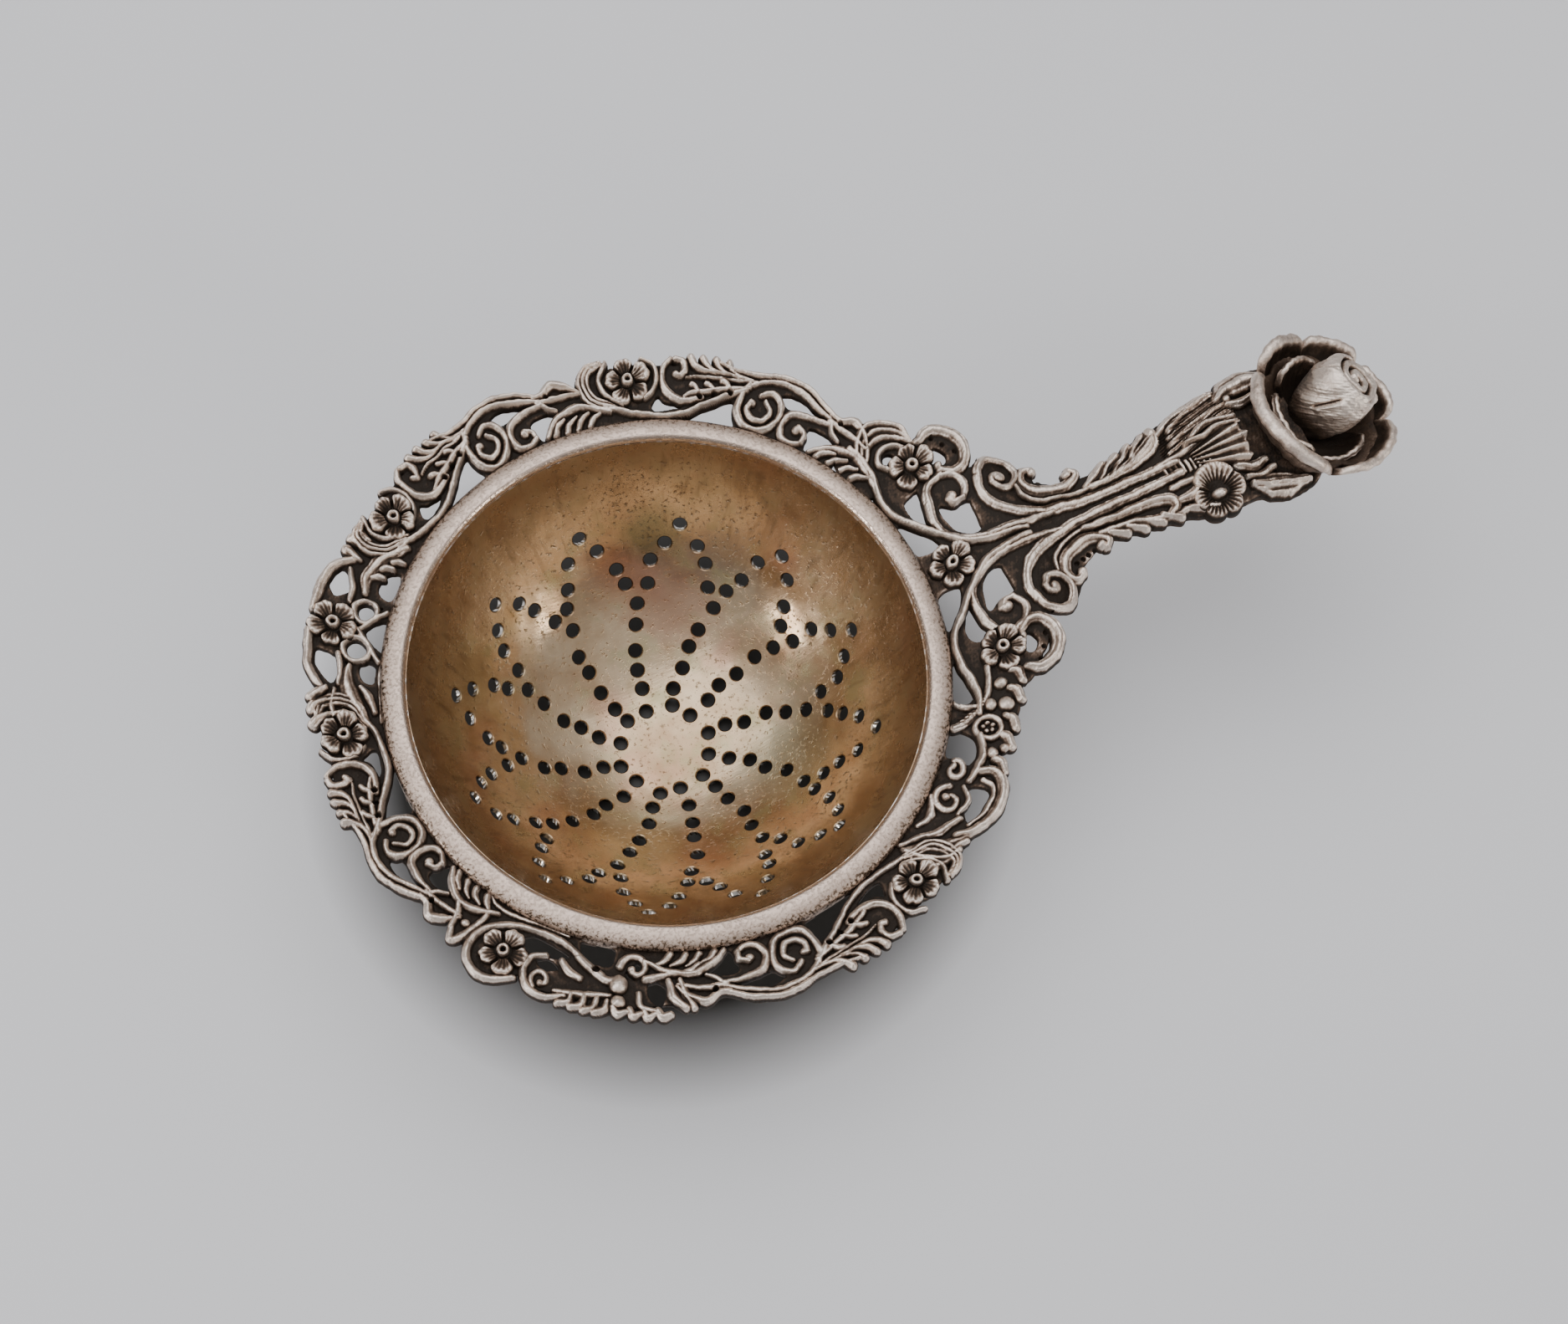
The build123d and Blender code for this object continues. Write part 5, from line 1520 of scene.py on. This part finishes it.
def gilt():
    """Worn gilding inside, tarnished in green, brown and rose, over a silver outside."""
    material, tree, shade = shader("bowl_gilt")
    reach = radius_of(tree)
    cloud = grain(tree, 9, 4, 0.55)
    patch = grain(tree, 4.2, 5, 0.6, seed=0.4)
    rose = grain(tree, 11, 3, 0.5, seed=0.15)
    speck = grain(tree, 0.5, 3, 0.65, seed=0.7)
    fine = grain(tree, 0.12, 2, 0.6, seed=0.9)
    deep, warm = (0.3, (0.32, 0.2, 0.115)), (0.45, (0.45, 0.32, 0.2))
    colour = ramp(tree, cloud, deep, warm, (0.58, (0.55, 0.42, 0.28)), (0.72, (0.42, 0.3, 0.17)))
    colour = blend_colour(tree, spread(tree, patch, 0.52, 0.7, 0.0, 0.55), colour, (0.34, 0.32, 0.17))
    colour = blend_colour(tree, spread(tree, rose, 0.56, 0.7, 0.0, 0.6), colour, (0.5, 0.27, 0.19))
    for azimuth, radius, size, strength, tint in STAINS:
        share = times(tree, near_place(tree, azimuth, radius, size, patch), strength)
        colour = blend_colour(tree, share, colour, tint)
    wall = spread(tree, reach, 22.0, 28.5)
    streak = streaks(tree)
    dirt = times(tree, spread(tree, streak, 0.56, 0.68), spread(tree, reach, 19.0, 26.0, 0.0, 0.55))
    colour = blend_colour(tree, dirt, colour, (0.12, 0.08, 0.045))
    colour = blend_colour(tree, times(tree, wall, 0.6), colour, (0.46, 0.345, 0.25))
    colour = blend_colour(tree, spread(tree, speck, 0.6, 0.72, 0.0, 0.7), colour, (0.13, 0.09, 0.05))
    # dark round the hole edges: partly tarnish, partly painted shade that makes the holes read dark
    colour = blend_colour(tree, spread(tree, patina(tree), 0.3, 0.9, 0.0, 0.8), colour, (0.1, 0.065, 0.035))
    # the outside of the bowl is plain silver
    place = tree.nodes.new("ShaderNodeNewGeometry")
    arm = vectors(tree, "SUBTRACT", place.outputs["Position"], (0, 0, BOWL_Z * MM)).outputs[0]
    facing = vectors(tree, "DOT_PRODUCT", arm, place.outputs["True Normal"])
    outside = sums(tree, "GREATER_THAN", facing.outputs["Value"], 0.0)
    silver = ramp(tree, cloud, (0.3, (0.5, 0.46, 0.41)), (0.6, (0.76, 0.72, 0.67)))
    silver = blend_colour(tree, spread(tree, speck, 0.58, 0.72, 0.0, 0.7), silver, (0.16, 0.13, 0.1))
    colour = blend_colour(tree, outside, colour, silver)
    link(tree, colour, shade.inputs["Base Color"])
    shade.inputs["Metallic"].default_value = 1.0
    rough = plus(tree, spread(tree, patch, 0.3, 0.7, 0.14, 0.26), times(tree, wall, 0.06))
    link(tree, plus(tree, rough, times(tree, fine, 0.06)), shade.inputs["Roughness"])
    # fine scratches that run round the bowl and pits
    scratch = grain(tree, 0.5, 2, 0.7, stretch=(0.15, 1, 0.15), seed=0.6)
    height = plus(tree, times(tree, spread(tree, speck, 0.58, 0.7), -0.8), times(tree, scratch, 0.35))
    height = plus(tree, height, times(tree, times(tree, streak, wall), 2.2))
    bump(tree, height, 0.035, shade)
    return material


def floor_paint():
    """Pale matt surface with the faintest unevenness, and a painted shadow: a near-black disc right under
    the bowl.
    """
    material, tree, shade = shader("pale_floor")
    cloud = grain(tree, 90, 2)
    pale = ramp(tree, cloud, (0.3, (0.66, 0.66, 0.68)), (0.7, (0.69, 0.69, 0.705)))
    reach = radius_of(tree)
    # painted shadow: the floor's colour is near black within 31 mm of the bowl's axis and fades to pale by
    # 43 mm
    colour = blend_colour(tree, spread(tree, reach, 31, 43), (0.012, 0.01, 0.008), pale)
    link(tree, colour, shade.inputs["Base Color"])
    shade.inputs["Roughness"].default_value = 0.55
    return material


# ---- Stage: places and sizes in metres ----

FLOOR_HALF = 1.2


def floor_piece():
    """Floor that touches the bottom of the bowl."""
    mesh = bpy.data.meshes.new("floor")
    sides = ((-1, -1), (1, -1), (1, 1), (-1, 1))
    corners = [(x * FLOOR_HALF, y * FLOOR_HALF, BOWL_LOW * MM) for x, y in sides]
    mesh.from_pydata(corners, [], [(0, 1, 2, 3)])
    mesh.materials.append(floor_paint())
    floor = bpy.data.objects.new("floor", mesh)
    bpy.context.scene.collection.objects.link(floor)


def lamp(name, place, aim, size, power, colour=(1, 1, 1)):
    """A soft rectangular light that looks at a point."""
    data = bpy.data.lights.new(name, "AREA")
    data.shape, data.size, data.size_y = "RECTANGLE", size[0], size[1]
    data.energy, data.color = power, colour
    light = bpy.data.objects.new(name, data)
    light.location = place
    light.rotation_euler = (Vector(aim) - Vector(place)).to_track_quat("-Z", "Y").to_euler()
    bpy.context.scene.collection.objects.link(light)


def sky():
    """Even, cool room light that is a little darker low down."""
    world = bpy.data.worlds.new("room")
    world.use_nodes = True
    bpy.context.scene.world = world
    tree = world.node_tree
    split = tree.nodes.new("ShaderNodeSeparateXYZ")
    tree.links.new(tree.nodes.new("ShaderNodeTexCoord").outputs["Generated"], split.inputs[0])
    height = spread(tree, split.outputs[2], 0.0, 1.0)
    low, wall = (0.0, (0.16, 0.155, 0.15)), (0.3, (0.3, 0.298, 0.297))
    colour = ramp(tree, height, low, wall, (0.7, (0.72, 0.72, 0.73)), (1.0, (0.88, 0.88, 0.9)))
    background = tree.nodes["Background"]
    tree.links.new(colour, background.inputs[0])
    background.inputs[1].default_value = 1.0


# lens and sensor width in millimetres
LENS, SENSOR_WIDTH = 57.69024, 36
# elevation, roll and turn from the handle, in degrees
CAMERA_ANGLES = (67.48, 9.112, -32)
# distance, and sideways shift of the whole camera, in millimetres
CAMERA_DISTANCE, CAMERA_SHIFT = 276.56, (12.327, 3.428, 1.6)


def camera_piece():
    """Camera at the viewing angle of a hand-held picture, above and to the near side."""
    elevation, roll, turn = (math.radians(angle) for angle in CAMERA_ANGLES)
    back = Vector((0, -math.cos(elevation), math.sin(elevation)))
    right = Vector((1, 0, 0))
    up = back.cross(right)
    level = right * math.cos(roll) + up * math.sin(roll)
    rise = -right * math.sin(roll) + up * math.cos(roll)
    place = back * CAMERA_DISTANCE + Vector(CAMERA_SHIFT)
    spin = Matrix.Rotation(turn, 3, "Z")
    basis = Matrix((spin @ level, spin @ rise, spin @ back)).transposed()
    data = bpy.data.cameras.new("camera")
    data.sensor_width = SENSOR_WIDTH
    data.lens = LENS
    camera = bpy.data.objects.new("camera", data)
    camera.matrix_world = Matrix.Translation(spin @ place * MM) @ basis.to_4x4()
    bpy.context.scene.collection.objects.link(camera)
    bpy.context.scene.camera = camera


silver, plain, golden = cast_silver(), band_silver(), gilt()
for length in LENGTHS:
    border_piece(length, silver)
root_piece(silver)
for bloom in FLORETS:
    floret_piece(bloom, silver)
stem_motifs = (root_arms, draw_scrolls, draw_leaves)
handle_part("handle_scrolls_cast", "handle_scrolls", stem_motifs, NECK_X, LEAF_X, silver)
handle_part("handle_leaves_cast", "handle_leaves", (draw_scrolls, draw_leaves), LEAF_X, LEAF_END, silver)
poppy_piece(silver)
shell_piece(silver)
rose_back(silver)
petal_ring("rose_open_petals", "rose_outer_petals", OUTER_PETALS, 1.5, 0.0, silver)
petal_ring("rose_cupped_petals", "rose_inner_petals", INNER_PETALS, 1.2, 0.6, silver)
rose_bud(silver)
bowl_piece(golden)
band_piece(plain)
collar_piece(plain)

floor_piece()
sky()
centre = Vector((0.02, 0, 0))
lamp("overhead", (-0.05, 0.3, 1.1), centre, (1.5, 1.2), 9.5, (0.98, 0.985, 1))
lamp("window_right", (0.62, -0.72, 0.3), centre, (0.2, 0.22), 2.0, (1, 0.96, 0.9))
lamp("window_left", (-0.94, -0.02, 0.31), centre, (0.3, 0.3), 3.4)
camera_piece()
